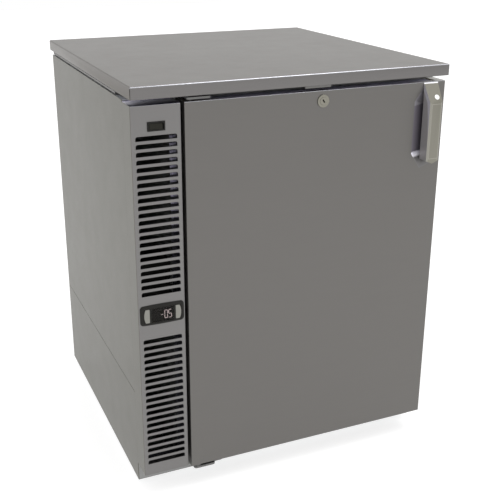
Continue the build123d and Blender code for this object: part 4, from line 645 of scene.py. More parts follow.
class Finish(Enum):
    """Every finish of the freezer."""

    # Worktop, apron, side, door and cover are one stainless steel in lit and shaded copies: their tones
    # differ as painted light and shade for how light falls on each face.
    WORKTOP = BrushedSteel("worktop_steel", (0.143, 0.134, 0.123), Grain.ALONG_X)
    APRON = BrushedSteel("apron_steel", (0.165, 0.159, 0.156), Grain.ALONG_X)
    SIDE = BrushedSteel("side_steel", (0.098, 0.094, 0.077), Grain.ALONG_Z)
    DOOR = BrushedSteel("door_steel", (0.148, 0.142, 0.135), Grain.ALONG_X)
    COVER = BrushedSteel("cover_steel", (0.185, 0.180, 0.177), Grain.ALONG_X)
    # Painted highlight on the rounded bends between fronts and tops.
    BEND = BrushedSteel("bent_edge_steel", (0.36, 0.36, 0.385), Grain.ALONG_X, 0.2)
    # Painted light: the door's top fold is paler to stand for light on it in the shade under the worktop.
    FOLD = BrushedSteel("door_fold_steel", (0.27, 0.26, 0.225), Grain.ALONG_X, 0.3)
    # Painted shade at the front of the cover's top fold, turning to a painted reflection behind.
    COVER_FOLD = ShadeToSheenSteel("cover_fold_steel", (0.01, 0.01, 0.02), (0.95, 0.93, 1.0), -0.280, -0.248)
    # Painted highlight on the bevelled sides of the grip.
    HANDLE_RIM = BrushedSteel("handle_rim_steel", (0.27, 0.262, 0.230), Grain.ALONG_Z, 0.30)
    # The handle's side wall, with its painted highlight strip.
    HANDLE_SIDE = WallSteel("handle_wall_steel", (0.235, 0.225, 0.225), (0.38, 0.37, 0.41),
                            -0.31325, 0.70105, 0.595, 0.64, 0.0095)
    # The handle's front, with its painted highlight line and painted glint.
    HANDLE = FramedSteel("handle_steel", (0.218, 0.210, 0.178), (0.34, 0.33, 0.29),
                         0.25515, 0.27585, 0.5975, 0.6995, 0.0011, 0.7334, (0.95, 0.95, 0.98))
    # Painted light and shade in the door's pocket: dark bands for its shaded slopes and a near-white painted
    # highlight on its lower slope.
    POCKET = BandedSteel("pocket_steel", 0.570, 0.735, (
        (0.570, (0.15, 0.146, 0.146)), (0.597, (0.16, 0.155, 0.155)), (0.6005, (0.95, 0.93, 1.0)),
        (0.6055, (0.90, 0.88, 0.98)), (0.6090, (0.125, 0.114, 0.136)), (0.6935, (0.125, 0.114, 0.136)),
        (0.6955, (0.23, 0.22, 0.24)), (0.712, (0.19, 0.18, 0.20)), (0.728, (0.06, 0.06, 0.065))))
    GLINT = BrushedSteel("bright_steel", (0.92, 0.92, 0.96), Grain.ALONG_X, 0.3, 0.3)
    FRAME = BrushedSteel("frame_steel", (0.26, 0.26, 0.255), Grain.ALONG_X)
    STRIKE = BrushedSteel("strike_steel", (0.150, 0.145, 0.141), Grain.ALONG_X)
    HINGE = BrushedSteel("hinge_steel", (0.150, 0.148, 0.145), Grain.ALONG_Y, 0.42)
    ZINC = GalvanisedSteel("zinc_sheet", (0.42, 0.43, 0.44))
    WIRE = BareMetal("bright_wire", (0.62, 0.63, 0.64), 0.2)
    SCREW = BareMetal("zinc_screw", (0.50, 0.51, 0.52), 0.3)
    LOCK = BareMetal("lock_nickel", (0.245, 0.236, 0.200), 0.3, 900.0, (0.17, 0.16, 0.13))
    FINS = BareMetal("bare_aluminium", (0.62, 0.63, 0.64), 0.38, 1200.0, (0.45, 0.46, 0.46))
    COPPER = BareMetal("drawn_copper", (0.62, 0.30, 0.18), 0.28, 800.0, (0.22, 0.10, 0.06), 0.5)
    ENAMEL = MouldedPlastic("black_enamel", (0.012, 0.012, 0.013), 0.25, 500.0, 0.00002, 0.5)
    INNER = MouldedPlastic("inner_white_sheet", (0.72, 0.72, 0.70), 0.34, 900.0, unevenness=0.02)
    WHITE = MouldedPlastic("white_moulding", (0.84, 0.84, 0.82), 0.42)
    KEYS = MouldedPlastic("light_grey_keys", (0.215, 0.212, 0.190), 0.6, 1500.0, 0.00006, 0.0, 0.3)
    # Painted shade: the condenser shroud's zinc is near-black to stand for the shade behind the cover.
    BAY = GalvanisedSteel("bay_sheet", (0.035, 0.035, 0.045), 0.55)
    GREY = MouldedPlastic("grey_moulding", (0.30, 0.31, 0.31), 0.5)
    DARK = MouldedPlastic("black_moulding", (0.0105, 0.0100, 0.0085), 0.5, 1700.0, 0.00003, 0.0, 0.16)
    ROCKER = MouldedPlastic("rocker_moulding", (0.0125, 0.0120, 0.0080), 0.5, 1500.0, 0.00002, 0.0, 0.16)
    # Painted light: the door's top channel is pale lilac to stand for light reaching it in the shade under
    # the worktop.
    CHANNEL = MouldedPlastic("dark_channel", (0.26, 0.25, 0.32), 0.45)
    BEARER = BrushedSteel("bearer_steel", (0.16, 0.155, 0.15), Grain.ALONG_X, 0.45)
    BLADE = MouldedPlastic("fan_moulding", (0.05, 0.05, 0.052), 0.4)
    FOAM = RigidFoam("cut_foam", (0.72, 0.62, 0.38))
    SEAL = SoftRubber("seal_rubber", (0.055, 0.055, 0.058))
    RUBBER = SoftRubber("black_rubber", (0.015, 0.015, 0.015))
    WINDOW = DarkWindow("display_pane", (0.008, 0.007, 0.006))
    FIGURES = LitSegments("lit_figures", (0.78, 0.64, 0.64), 0.5)


class FinishShelf:
    """Makes each finish once and hands it out."""

    def __init__(self) -> None:
        """Starts with no materials made."""
        self._made: dict[Finish, bpy.types.Material] = {}

    def take(self, finish: Finish) -> bpy.types.Material:
        """Returns the finish's material, made at its first use.

        Args:
            finish: the finish.

        Returns:
            Its material.
        """
        if finish not in self._made:
            self._made[finish] = finish.value.make()
        return self._made[finish]


SHELF = FinishShelf()


# Mesh helpers


def span(node: str) -> tuple[Vector, Vector]:
    """The lowest and highest corners of a CAD node at rest."""
    low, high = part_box(node)
    return Vector(low), Vector(high)


def wear(obj: Obj, finish: Finish) -> None:
    """Gives an object one finish in all of its slots."""
    obj.data.materials.clear()
    obj.data.materials.append(SHELF.take(finish))


def paint(obj: Obj, base: Finish, *more: tuple[Finish, Callable[[Any], bool]]) -> None:
    """Gives an object one finish, and others where their rules pick its faces.

    Args:
        obj: the object.
        base: the finish of the faces that no rule picks.
        more: finishes with the rules that pick their faces.
    """
    wear(obj, base)
    for index, (finish, picks) in enumerate(more, 1):
        obj.data.materials.append(SHELF.take(finish))
        for face in obj.data.polygons:
            if picks(face):
                face.material_index = index


def front_bend(face: bpy.types.MeshPolygon) -> bool:
    """Whether a face belongs to the rounding between a front and the top above it."""
    return face.normal.y < -0.3 and face.normal.z > 0.3


def coat_node(node: str, finish: Finish) -> None:
    """Gives a shown CAD node its finish, and leaves its shape alone.

    Args:
        node: the CAD node.
        finish: its finish.
    """
    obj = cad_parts[node]
    if not obj.material_slots:
        obj.data.materials.append(None)
    for place in obj.material_slots:
        place.material = SHELF.take(finish)
    LOG.info("CAD node %s in %s", node, finish.name)


def stand(obj: Obj, body: str, node: Optional[str]) -> Obj:
    """Puts a finished piece on its body.

    Args:
        obj: the piece.
        body: the CAD body it rides on.
        node: the CAD node it stands for, if any.

    Returns:
        The same piece.
    """
    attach(obj, body)
    if node:
        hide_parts(node)
    LOG.info("%s rides on %s, %d faces", obj.name, body, len(obj.data.polygons))
    return obj


def from_bmesh(name: str, mesh: Mesh, smooth_angle: float = 32.0) -> Obj:
    """Turns a bmesh into an object with rounded shading up to an angle.

    Args:
        name: the object's name.
        mesh: the bmesh, which is freed.
        smooth_angle: degrees up to which faces are shaded as one.

    Returns:
        The new object.
    """
    data = bpy.data.meshes.new(name)
    mesh.to_mesh(data)
    mesh.free()
    data.shade_smooth()
    data.set_sharp_from_angle(angle=math.radians(smooth_angle))
    obj = bpy.data.objects.new(name, data)
    bpy.context.scene.collection.objects.link(obj)
    return obj


def settled(obj: Obj, name: Optional[str] = None) -> Obj:
    """Turns an object with modifiers into a plain one.

    Args:
        obj: the object with live modifiers, which is removed.
        name: the new object's name, by default the same.

    Returns:
        The plain object.
    """
    name = name or obj.name
    graph = bpy.context.evaluated_depsgraph_get()
    data = bpy.data.meshes.new_from_object(obj.evaluated_get(graph), depsgraph=graph)
    bpy.data.objects.remove(obj)
    data.name = name
    plain = bpy.data.objects.new(name, data)
    bpy.context.scene.collection.objects.link(plain)
    return plain


def thickened(obj: Obj, sheet: float, offset: float = -1.0, even: bool = False) -> Obj:
    """Gives a surface the thickness of its sheet.

    Args:
        obj: the surface, which is removed.
        sheet: the thickness.
        offset: -1 for all of it behind the surface, 0 for half on each side.
        even: whether corners keep the thickness.

    Returns:
        The closed shell.
    """
    thick = obj.modifiers.new("thickness", "SOLIDIFY")
    thick.thickness = sheet
    thick.offset = offset
    thick.use_even_offset = even
    return settled(obj)


def merged_copy(node: str) -> Mesh:
    """A CAD node's mesh with its points merged and its flat faces joined where they have no holes.

    Args:
        node: the CAD node.

    Returns:
        The merged mesh.
    """
    mesh = bmesh.new()
    mesh.from_mesh(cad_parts[node].data)
    bmesh.ops.remove_doubles(mesh, verts=mesh.verts, dist=SAME_PLACE)
    whole = sum(face.calc_area() for face in mesh.faces)
    joined = mesh.copy()
    bmesh.ops.dissolve_limit(joined, angle_limit=math.radians(0.6), verts=joined.verts, edges=joined.edges,
                             delimit={"NORMAL"})
    plain = joined.copy()
    bmesh.ops.triangulate(plain, faces=plain.faces)
    kept = sum(face.calc_area() for face in plain.faces)
    plain.free()
    if abs(kept - whole) < 1e-3 * whole:
        mesh.free()
        return joined
    joined.free()
    bmesh.ops.join_triangles(mesh, faces=mesh.faces, angle_face_threshold=math.radians(0.5),
                             angle_shape_threshold=math.pi)
    return mesh


def tiled_area(mesh: Mesh, split: bool = False) -> float:
    """A mesh's area once its faces are split into triangles, as they will be shown.

    Args:
        mesh: the mesh.
        split: whether the mesh itself is split, else a copy of it.

    Returns:
        The area in square metres.
    """
    tiles = mesh if split else mesh.copy()
    bmesh.ops.triangulate(tiles, faces=tiles.faces)
    area = sum(face.calc_area() for face in tiles.faces)
    if not split:
        tiles.free()
    return area


def eased(name: str, mesh: Mesh, width: float, segments: int = 3, angle: float = SHARP_ANGLE,
          softer: Optional[Widths] = None) -> Obj:
    """Makes an object from a mesh and eases its sharp edges with real faces.

    A sheet with openings can come out with an opening filled in, which its area shows; it is then tried
    again from triangles, and at last left with sharp edges.

    Args:
        name: the object's name.
        mesh: the mesh, which is freed.
        width: the easing's width.
        segments: its steps.
        angle: degrees between faces above which an edge counts as sharp.
        softer: gives each edge's share of the width from its middle.

    Returns:
        The plain object.
    """
    whole = tiled_area(mesh)
    for share, split in ((1.0, False), (1.0, True), (0.0, True)):
        trial = mesh.copy()
        if split:
            tiled_area(trial, True)
        plain = eased_once(name, trial, width * share, segments, angle, softer)
        after = bmesh_of(plain, False)
        grown = tiled_area(after, True)
        after.free()
        if -0.12 * whole < grown - whole < 0.03 * whole:
            break
        LOG.info("%s grew from %.4f to %.4f square metres and is tried again", name, whole, grown)
        bpy.data.objects.remove(plain)
    mesh.free()
    return plain


def eased_once(name: str, mesh: Mesh, width: float, segments: int, angle: float,
               softer: Optional[Widths]) -> Obj:
    """One try of eased, which explains the arguments.

    Args:
        name: the object's name.
        mesh: the mesh, which is freed.
        width: the easing's width, or nought for sharp edges.
        segments: its steps.
        angle: degrees above which an edge counts as sharp.
        softer: gives each edge's share of the width from its middle.

    Returns:
        The plain object.
    """
    if softer:
        layer = mesh.edges.layers.float.new("bevel_weight_edge")
        for edge in mesh.edges:
            sharp = len(edge.link_faces) == 2 and edge.calc_face_angle(0.0) > math.radians(angle)
            middle = (edge.verts[0].co + edge.verts[1].co) / 2
            edge[layer] = softer(middle) if sharp else 0.0
    obj = from_bmesh(name, mesh, 180.0)
    if width > 0.0:
        bevel = obj.modifiers.new("easing", "BEVEL")
        bevel.width = width
        bevel.segments = segments
        bevel.limit_method = "WEIGHT" if softer else "ANGLE"
        bevel.angle_limit = math.radians(angle)
        bevel.miter_outer = "MITER_ARC"
        bevel.use_clamp_overlap = True
        even = obj.modifiers.new("even_shading", "WEIGHTED_NORMAL")
        even.keep_sharp = False
    else:
        obj.data.set_sharp_from_angle(angle=math.radians(angle))
    return settled(obj)


def dressed(node: str, name: str, body: str, finish: Finish, width: float = 0.4 * MM,
            segments: int = 2) -> Obj:
    """A piece that stands for a CAD node: its own shape with eased edges and a finish.

    Args:
        node: the CAD node.
        name: the piece's name.
        body: the body it rides on.
        finish: the finish.
        width: the easing's width.
        segments: the easing's steps.

    Returns:
        The piece.
    """
    piece = eased(name, merged_copy(node), width, segments)
    wear(piece, finish)
    return stand(piece, body, node)


def round_off(mesh: Mesh, edges: Sequence[Any], width: float, steps: int) -> None:
    """Rounds chosen edges of a bmesh."""
    bmesh.ops.bevel(mesh, geom=edges, offset=width, segments=steps, profile=0.5, affect="EDGES")


def box_bmesh(low: Sequence[float], high: Sequence[float]) -> Mesh:
    """A box between two corners.

    Args:
        low: its lowest corner.
        high: its highest corner.

    Returns:
        The box.
    """
    mesh = bmesh.new()
    bmesh.ops.create_cube(mesh, size=1.0)
    for vert in mesh.verts:
        vert.co = Vector([low[axis] if vert.co[axis] < 0 else high[axis] for axis in range(3)])
    return mesh


def cut(obj: Obj, cutter: Obj) -> Obj:
    """Takes a cutter's space out of an object and removes the cutter.

    Args:
        obj: the object, which is removed.
        cutter: the cutter, which is removed.

    Returns:
        What is left of the object.
    """
    modifier = obj.modifiers.new("cut", "BOOLEAN")
    modifier.operation = "DIFFERENCE"
    modifier.solver = "EXACT"
    modifier.object = cutter
    plain = settled(obj)
    bpy.data.objects.remove(cutter)
    return plain


def bmesh_of(obj: Obj, spent: bool = True) -> Mesh:
    """The mesh of an object, which is removed if it is spent.

    Args:
        obj: the object.
        spent: whether the object is removed.

    Returns:
        Its mesh.
    """
    mesh = bmesh.new()
    mesh.from_mesh(obj.data)
    if spent:
        bpy.data.objects.remove(obj)
    return mesh


# Geometry nodes


class GeometryBench(NodeBench):
    """A Geometry Nodes tree with named inputs, made into plain meshes."""

    KINDS = {int: "Int", float: "Float", tuple: "Vector", Obj: "Object"}

    def __init__(self, name: str, **inputs: Any) -> None:
        """Starts a tree.

        Args:
            name: the tree's name.
            inputs: the named inputs with their values: whole numbers, numbers, vectors or objects.
        """
        self.tree = bpy.data.node_groups.new(name, "GeometryNodeTree")
        face = self.tree.interface
        face.new_socket(name="Geometry", in_out="INPUT", socket_type="NodeSocketGeometry")
        face.new_socket(name="Geometry", in_out="OUTPUT", socket_type="NodeSocketGeometry")
        self.values = inputs
        self.keys: dict[str, str] = {}
        for key, value in inputs.items():
            kind = "NodeSocket" + self.KINDS[type(value)]
            self.keys[key] = face.new_socket(name=key, in_out="INPUT", socket_type=kind).identifier
        self.entry = self.tree.nodes.new("NodeGroupInput")

    def input(self, name: str) -> Any:
        """The socket of a named input."""
        return self.entry.outputs[name]

    def number(self, name: str) -> Signal:
        """A named input as a signal."""
        return Signal(self.tree, self.input(name))

    def vector(self, x: Any = 0.0, y: Any = 0.0, z: Any = 0.0) -> Any:
        """A vector from three numbers or signals."""
        return self.out("ShaderNodeCombineXYZ", None, {0: x, 1: y, 2: z})

    def joined(self, *parts: Any) -> Any:
        """The parts as one geometry.

        Args:
            parts: the geometries' sockets.

        Returns:
            The joined geometry's socket.
        """
        node = self.node("GeometryNodeJoinGeometry")
        for part in reversed(parts):
            self.tree.links.new(part, node.inputs[0])
        return node.outputs[0]

    def moved(self, part: Any, shift: Any = (0, 0, 0), turn: Any = (0, 0, 0)) -> Any:
        """The part turned and shifted."""
        return self.out("GeometryNodeTransform", None,
                        {"Geometry": part, "Translation": shift, "Rotation": turn})

    def row(self, part: Any, count: Any, start: Any, step: Any) -> Any:
        """The part repeated along a line.

        Args:
            part: the geometry to repeat.
            count: how many.
            start: the first one's place.
            step: the way from one to the next.

        Returns:
            The instances' socket.
        """
        line = self.out("GeometryNodeMeshLine", {"mode": "OFFSET"},
                        {"Count": count, "Start Location": start, "Offset": step})
        return self.out("GeometryNodeInstanceOnPoints", None, {"Points": line, "Instance": part})

    def thickened(self, face: Any, depth: Any) -> Any:
        """A closed solid: a flat face drawn out along its normal by a depth.

        Args:
            face: the face's socket.
            depth: how far it is drawn out.

        Returns:
            The solid's socket.
        """
        pushed = self.out("GeometryNodeExtrudeMesh", {"mode": "FACES"},
                          {"Mesh": face, "Offset Scale": depth, "Individual": False})
        base = self.out("GeometryNodeFlipFaces", None, {"Mesh": face})
        return self.out("GeometryNodeMergeByDistance", None,
                        {"Geometry": self.joined(pushed, base), "Distance": SAME_PLACE})

    def tube(self, curve: Any, radius: Any, sides: int = 12) -> Any:
        """A closed round tube along a curve.

        Args:
            curve: the curve's socket.
            radius: the tube's radius.
            sides: its sides.

        Returns:
            The tube's socket.
        """
        ring = self.out("GeometryNodeCurvePrimitiveCircle", {"mode": "RADIUS"},
                        {"Resolution": sides, "Radius": radius})
        return self.out("GeometryNodeCurveToMesh", None,
                        {"Curve": curve, "Profile Curve": ring, "Fill Caps": True})

    def rod(self, radius: Any, sides: int, **half: Signal) -> Any:
        """A tube through the origin, along the one axis whose half length is given.

        Args:
            radius: the tube's radius.
            sides: its sides.
            half: half of its length, named x, y or z.

        Returns:
            The tube's socket.
        """
        back = {axis: reach * -1.0 for axis, reach in half.items()}
        line = self.out("GeometryNodeCurvePrimitiveLine", None,
                        {"Start": self.vector(**back), "End": self.vector(**half)})
        return self.tube(line, radius, sides)

    def rounded(self, width: Any, height: Any, radius: Any, steps: int) -> Any:
        """A flat outline round the origin with rounded corners.

        Args:
            width: its size along X.
            height: its size along Y.
            radius: the corners' radius.
            steps: the steps of each corner.

        Returns:
            The curve's socket.
        """
        outline = self.out("GeometryNodeCurvePrimitiveQuadrilateral", {"mode": "RECTANGLE"},
                           {"Width": width, "Height": height})
        return self.out("GeometryNodeFilletCurve", {"mode": "POLY"},
                        {"Curve": outline, "Count": steps, "Radius": radius, "Limit Radius": True})

    def grown(self, name: str, geometry: Any, finish: Finish, base: Optional[bpy.types.Mesh] = None) -> Obj:
        """Finishes the tree and returns its result as a plain object.

        Args:
            name: the object's name.
            geometry: the result's socket.
            finish: the finish that Set Material gives.
            base: the mesh that the tree starts from, if it reads one.

        Returns:
            The plain object.
        """
        real = self.out("GeometryNodeRealizeInstances", None, {"Geometry": geometry})
        dyed = self.out("GeometryNodeSetMaterial", None, {"Geometry": real, "Material": SHELF.take(finish)})
        end = self.tree.nodes.new("NodeGroupOutput")
        self.tree.links.new(dyed, end.inputs[0])
        seed = bpy.data.objects.new(name + "_seed", base or bpy.data.meshes.new(name))
        bpy.context.scene.collection.objects.link(seed)
        modifier = seed.modifiers.new("tree", "NODES")
        modifier.node_group = self.tree
        for key, identifier in self.keys.items():
            modifier[identifier] = self.values[key]
        plain = settled(seed, name)
        plain.data.shade_smooth()
        plain.data.set_sharp_from_angle(angle=math.radians(SHARP_ANGLE))
        return plain


# Stage


@dataclass
class Stage:
    """The floor, the lights and the camera."""

    floor_size: float = 9.0
    camera_at: Point = (-0.66616, -1.57636, 1.01127)
    camera_yaw: float = -23.08
    camera_pitch: float = 70.07
    focal_share: float = 856.35 / 500
    shift: tuple[float, float] = (0.02674, -0.0393)

    def build(self) -> None:
        """Makes everything that isn't part of the freezer."""
        self.floor()
        self.world()
        self.lights()
        self.camera()

    def floor(self) -> None:
        """A plain pale floor."""
        mesh = bmesh.new()
        bmesh.ops.create_grid(mesh, x_segments=1, y_segments=1, size=self.floor_size)
        floor = from_bmesh("floor", mesh)
        bench = ShaderBench("pale_floor", Roughness=0.6, Emission_Strength=0.72,
                            Emission_Color=(1.0, 1.0, 1.0, 1.0))
        mottle = bench.noise(1.5, 2.0)
        bench.tint(bench.blend(mottle, (0.38, 0.38, 0.38), (0.42, 0.42, 0.42)))
        floor.data.materials.append(bench.material)

    def world(self) -> None:
        """An even white surround."""
        world = bpy.data.worlds.new("studio")
        world.use_nodes = True
        background = world.node_tree.nodes["Background"]
        background.inputs["Color"].default_value = (1.0, 1.0, 1.0, 1.0)
        background.inputs["Strength"].default_value = 1.0
        bpy.context.scene.world = world

    def lights(self) -> None:
        """Two large soft lights: one at the upper left, one above and to the right."""
        for name, place, aim, size, power in (
            ("left_softbox", (-2.6, -1.2, 2.6), (0.0, 0.0, 0.4), 2.4, 12.0),
            ("top_softbox", (1.3, -0.8, 3.4), (0.0, -0.2, 0.5), 1.5, 38.0),
        ):
            data = bpy.data.lights.new(name, "AREA")
            data.shape = "SQUARE"
            data.size = size
            data.energy = power
            lamp = bpy.data.objects.new(name, data)
            lamp.location = place
            lamp.rotation_euler = (Vector(aim) - Vector(place)).to_track_quat("-Z", "Y").to_euler()
            bpy.context.scene.collection.objects.link(lamp)

    def camera(self) -> None:
        """The camera at the photograph's place."""
        data = bpy.data.cameras.new("camera")
        data.lens = self.focal_share * data.sensor_width
        data.shift_x, data.shift_y = self.shift
        data.clip_start = 0.05
        eye = bpy.data.objects.new("camera", data)
        eye.location = self.camera_at
        eye.rotation_euler = (math.radians(self.camera_pitch), 0.0, math.radians(self.camera_yaw))
        bpy.context.scene.collection.objects.link(eye)
        scene = bpy.context.scene
        scene.camera = eye
        scene.view_settings.view_transform = "Standard"
        scene.view_settings.look = "None"


# Sub-assemblies of the freezer


@dataclass(frozen=True)
class Spot:
    """Where one copy of a repeated shape goes."""

    place: Point
    turn: Point = (0.0, 0.0, 0.0)
    size: Point = (1.0, 1.0, 1.0)


def planted(name: str, shape: Obj, spots: Sequence[Spot], finish: Finish) -> Obj:
    """Copies a shape to every spot with a Geometry Nodes tree.

    Args:
        name: the piece's name.
        shape: the shape, which is removed.
        spots: the places, turns and sizes of the copies.
        finish: the finish.

    Returns:
        The piece.
    """
    points = bpy.data.meshes.new(name)
    points.from_pydata([spot.place for spot in spots], [], [])
    for key in ("turn", "size"):
        layer = points.attributes.new(key, "FLOAT_VECTOR", "POINT")
        layer.data.foreach_set("vector", [value for spot in spots for value in getattr(spot, key)])
    bench = GeometryBench(name, Shape=shape)
    part = bench.out("GeometryNodeObjectInfo", None, {"Object": bench.input("Shape")}, "Geometry")
    read = [bench.out("GeometryNodeInputNamedAttribute", {"data_type": "FLOAT_VECTOR"}, {"Name": key})
            for key in ("turn", "size")]
    rotation = bench.out("FunctionNodeEulerToRotation", None, {0: read[0]})
    copies = bench.out("GeometryNodeInstanceOnPoints", None,
                       {"Points": bench.entry.outputs["Geometry"], "Instance": part, "Rotation": rotation,
                        "Scale": read[1]})
    piece = bench.grown(name, copies, finish, points)
    bpy.data.objects.remove(shape)
    return piece


@dataclass
class Worktop:
    """The flat top: one sheet folded down all round, with an open seam at each corner."""

    edge: float = 0.9 * MM
    seam_width: float = 1.0 * MM
    seam_depth: float = 4.0 * MM
    seam_below_top: float = 2.6 * MM

    def build(self) -> None:
        """Makes the worktop."""
        low, high = span("worktop")
        sheet = eased("worktop_sheet", merged_copy("worktop"), self.edge, 3)
        seams = bmesh.new()
        height = high.z - low.z
        for x in (low.x, high.x):
            for y in (low.y, high.y):
                place = Matrix.Translation((x, y, low.z - self.seam_below_top))
                turn = Matrix.Rotation(math.radians(45.0 if x * y > 0 else -45.0), 4, "Z")
                size = Matrix.Diagonal((2 * self.seam_depth, self.seam_width, 2 * height, 1.0))
                ends = bmesh.ops.create_cube(seams, size=1.0, matrix=place @ turn @ size)["verts"]
                for vert in ends:
                    vert.co.z = min(vert.co.z, high.z - self.seam_below_top)
        sheet = cut(sheet, from_bmesh("seams", seams))
        # The front faces take a lit copy of the steel, the bends a painted highlight and the underside a
        # painted glint.
        paint(sheet, Finish.WORKTOP,
              (Finish.APRON, lambda face: face.normal.y < -0.9), (Finish.BEND, front_bend),
              (Finish.GLINT, lambda face: face.normal.z < -0.9))
        stand(sheet, "cabinet", "worktop")


@dataclass
class SlottedCover:
    """The folded cover of the machine side, with two banks of slots and its two cut-outs."""

    sheet: float = 1.2 * MM
    corner_radius: float = 2.0 * MM
    rim_radius: float = 0.9 * MM
    slot_length: float = 70.6 * MM
    slot_height: float = 7.8 * MM
    slot_radius: float = 3.4 * MM
    slot_pitch: float = 12.9 * MM
    slot_edge: float = 0.2 * MM
    upper_count: int = 22
    lower_count: int = 20
    upper_below_top: float = 49.5 * MM
    lower_above_bottom: float = 23.4 * MM
    shade: float = 4.0 * MM
    switch_rim: float = 1.6 * MM
    controller_rim: float = 4.7 * MM

    def __post_init__(self) -> None:
        """Reads the cover's corners."""
        self.low, self.high = span("grille_cover")

    def build(self) -> None:
        """Makes the cover and the frame behind it."""
        low, high = self.low, self.high
        cover = self.slots(self.folded_pan())
        for node, margin in (("switch_housing", self.switch_rim), ("controller_case", self.controller_rim)):
            cover = self.opening(cover, node, margin)
        cover = eased("slotted_cover", bmesh_of(cover), self.slot_edge, 2)
        # The left face takes the side panels' shaded copy, the top fold painted shade and reflection, and the
        # top rim a painted highlight.
        paint(cover, Finish.COVER,
              (Finish.SIDE, lambda face: face.normal.x < -0.8 and face.center.x < low.x + self.sheet / 2),
              (Finish.FRAME, lambda face: face.normal.x < -0.8 and face.center.x > high.x - 2 * self.sheet),
              (Finish.COVER_FOLD,
               lambda face: face.normal.z > 0.9 and face.center.z > high.z - self.sheet / 2),
              (Finish.BEND, lambda face: front_bend(face) and face.center.z > high.z - self.sheet))
        # Painted light in bands behind the upper slots, with painted shade between them, and plain frame
        # steel beyond the cover.
        start = high.z - self.upper_below_top - self.slot_height + self.shade
        lit = SlotLitSteel("slot_lit_steel", (0.47, 0.45, 0.57), (0.03, 0.03, 0.04), (0.26, 0.26, 0.255),
                           low.y + self.sheet, high.x, self.slot_pitch,
                           (self.slot_height - self.shade) / self.slot_pitch, start,
                           span("controller_case")[1].z + 2 * self.slot_pitch, low.z).make()
        cover.data.materials[2] = lit
        stand(cover, "cabinet", "grille_cover")
        inner = eased("front_frame_eased", merged_copy("front_frame"), self.slot_edge, 2)
        wear(inner, Finish.FRAME)
        inner.data.materials[0] = lit
        stand(inner, "cabinet", "front_frame")

    def folded_pan(self) -> Obj:
        """The sheet folded into a pan that is open at the back, as a closed shell.

        Returns:
            The closed shell.
        """
        mesh = box_bmesh(self.low, self.high)
        bmesh.ops.delete(mesh, geom=[face for face in mesh.faces if face.normal.y > 0.9], context="FACES")
        upright = [edge for edge in mesh.edges
                   if len(edge.link_faces) == 2 and abs(edge.verts[0].co.z - edge.verts[1].co.z) > self.sheet]
        round_off(mesh, upright, self.corner_radius, 5)
        rims = [edge for edge in mesh.edges
                if len(edge.link_faces) == 2 and abs(edge.verts[0].co.z - edge.verts[1].co.z) < SAME_PLACE]
        round_off(mesh, rims, self.rim_radius, 4)
        bmesh.ops.recalc_face_normals(mesh, faces=mesh.faces)
        middle = (self.low + self.high) / 2
        if sum(face.normal.dot(face.calc_center_median() - middle) for face in mesh.faces) < 0:
            bmesh.ops.reverse_faces(mesh, faces=mesh.faces)
        return thickened(from_bmesh("folded_pan", mesh), self.sheet, even=True)

    def slots(self, pan: Obj) -> Obj:
        """Cuts both banks of slots with a Geometry Nodes tree.

        Args:
            pan: the folded pan, which is removed.

        Returns:
            The pan with its slots.
        """
        low, high = self.low, self.high
        middle = (low.x + high.x) / 2
        half = self.slot_height / 2
        behind = low.y + 2 * self.sheet
        bench = GeometryBench(
            "slot_banks", SlotLength=self.slot_length, SlotHeight=self.slot_height,
            SlotRadius=self.slot_radius, Depth=3 * self.sheet,
            UpperCount=self.upper_count, LowerCount=self.lower_count,
            UpperStart=(middle, behind, high.z - self.upper_below_top - half),
            LowerStart=(middle, behind, low.z + self.lower_above_bottom + half),
            Down=(0.0, 0.0, -self.slot_pitch), Up=(0.0, 0.0, self.slot_pitch))
        place = bench.out("GeometryNodeInputPosition")
        height = Signal(bench.tree, bench.out("ShaderNodeSeparateXYZ", None, {0: place}, "Y"))
        outline = bench.rounded(bench.input("SlotLength"), bench.input("SlotHeight"),
                                (height > 0.0) * bench.number("SlotRadius"), 5)
        face = bench.out("GeometryNodeFillCurve", None, {"Curve": outline})
        slot = bench.moved(bench.thickened(face, bench.input("Depth")), turn=(math.radians(90.0), 0.0, 0.0))
        upper = bench.row(slot, bench.input("UpperCount"), bench.input("UpperStart"), bench.input("Down"))
        lower = bench.row(slot, bench.input("LowerCount"), bench.input("LowerStart"), bench.input("Up"))
        cutters = bench.out("GeometryNodeRealizeInstances", None, {"Geometry": bench.joined(upper, lower)})
        result = bench.out("GeometryNodeMeshBoolean", {"operation": "DIFFERENCE", "solver": "EXACT"},
                           {"Mesh 1": bench.entry.outputs["Geometry"], "Mesh 2": cutters})
        base = pan.data.copy()
        bpy.data.objects.remove(pan)
        return bench.grown("slotted_pan", result, Finish.COVER, base)

    def opening(self, cover: Obj, node: str, margin: float) -> Obj:
        """Cuts the hole that a node's body passes through.

        Args:
            cover: the cover, which is removed.
            node: the CAD node behind the hole.
            margin: the width of the node's rim over the cover on each side.

        Returns:
            The cover with its hole.
        """
        low, high = span(node)
        front = self.low.y
        hole = box_bmesh((low.x + margin, front - self.sheet, low.z + margin),
                         (high.x - margin, front + 2 * self.sheet, high.z - margin))
        return cut(cover, from_bmesh("hole", hole))


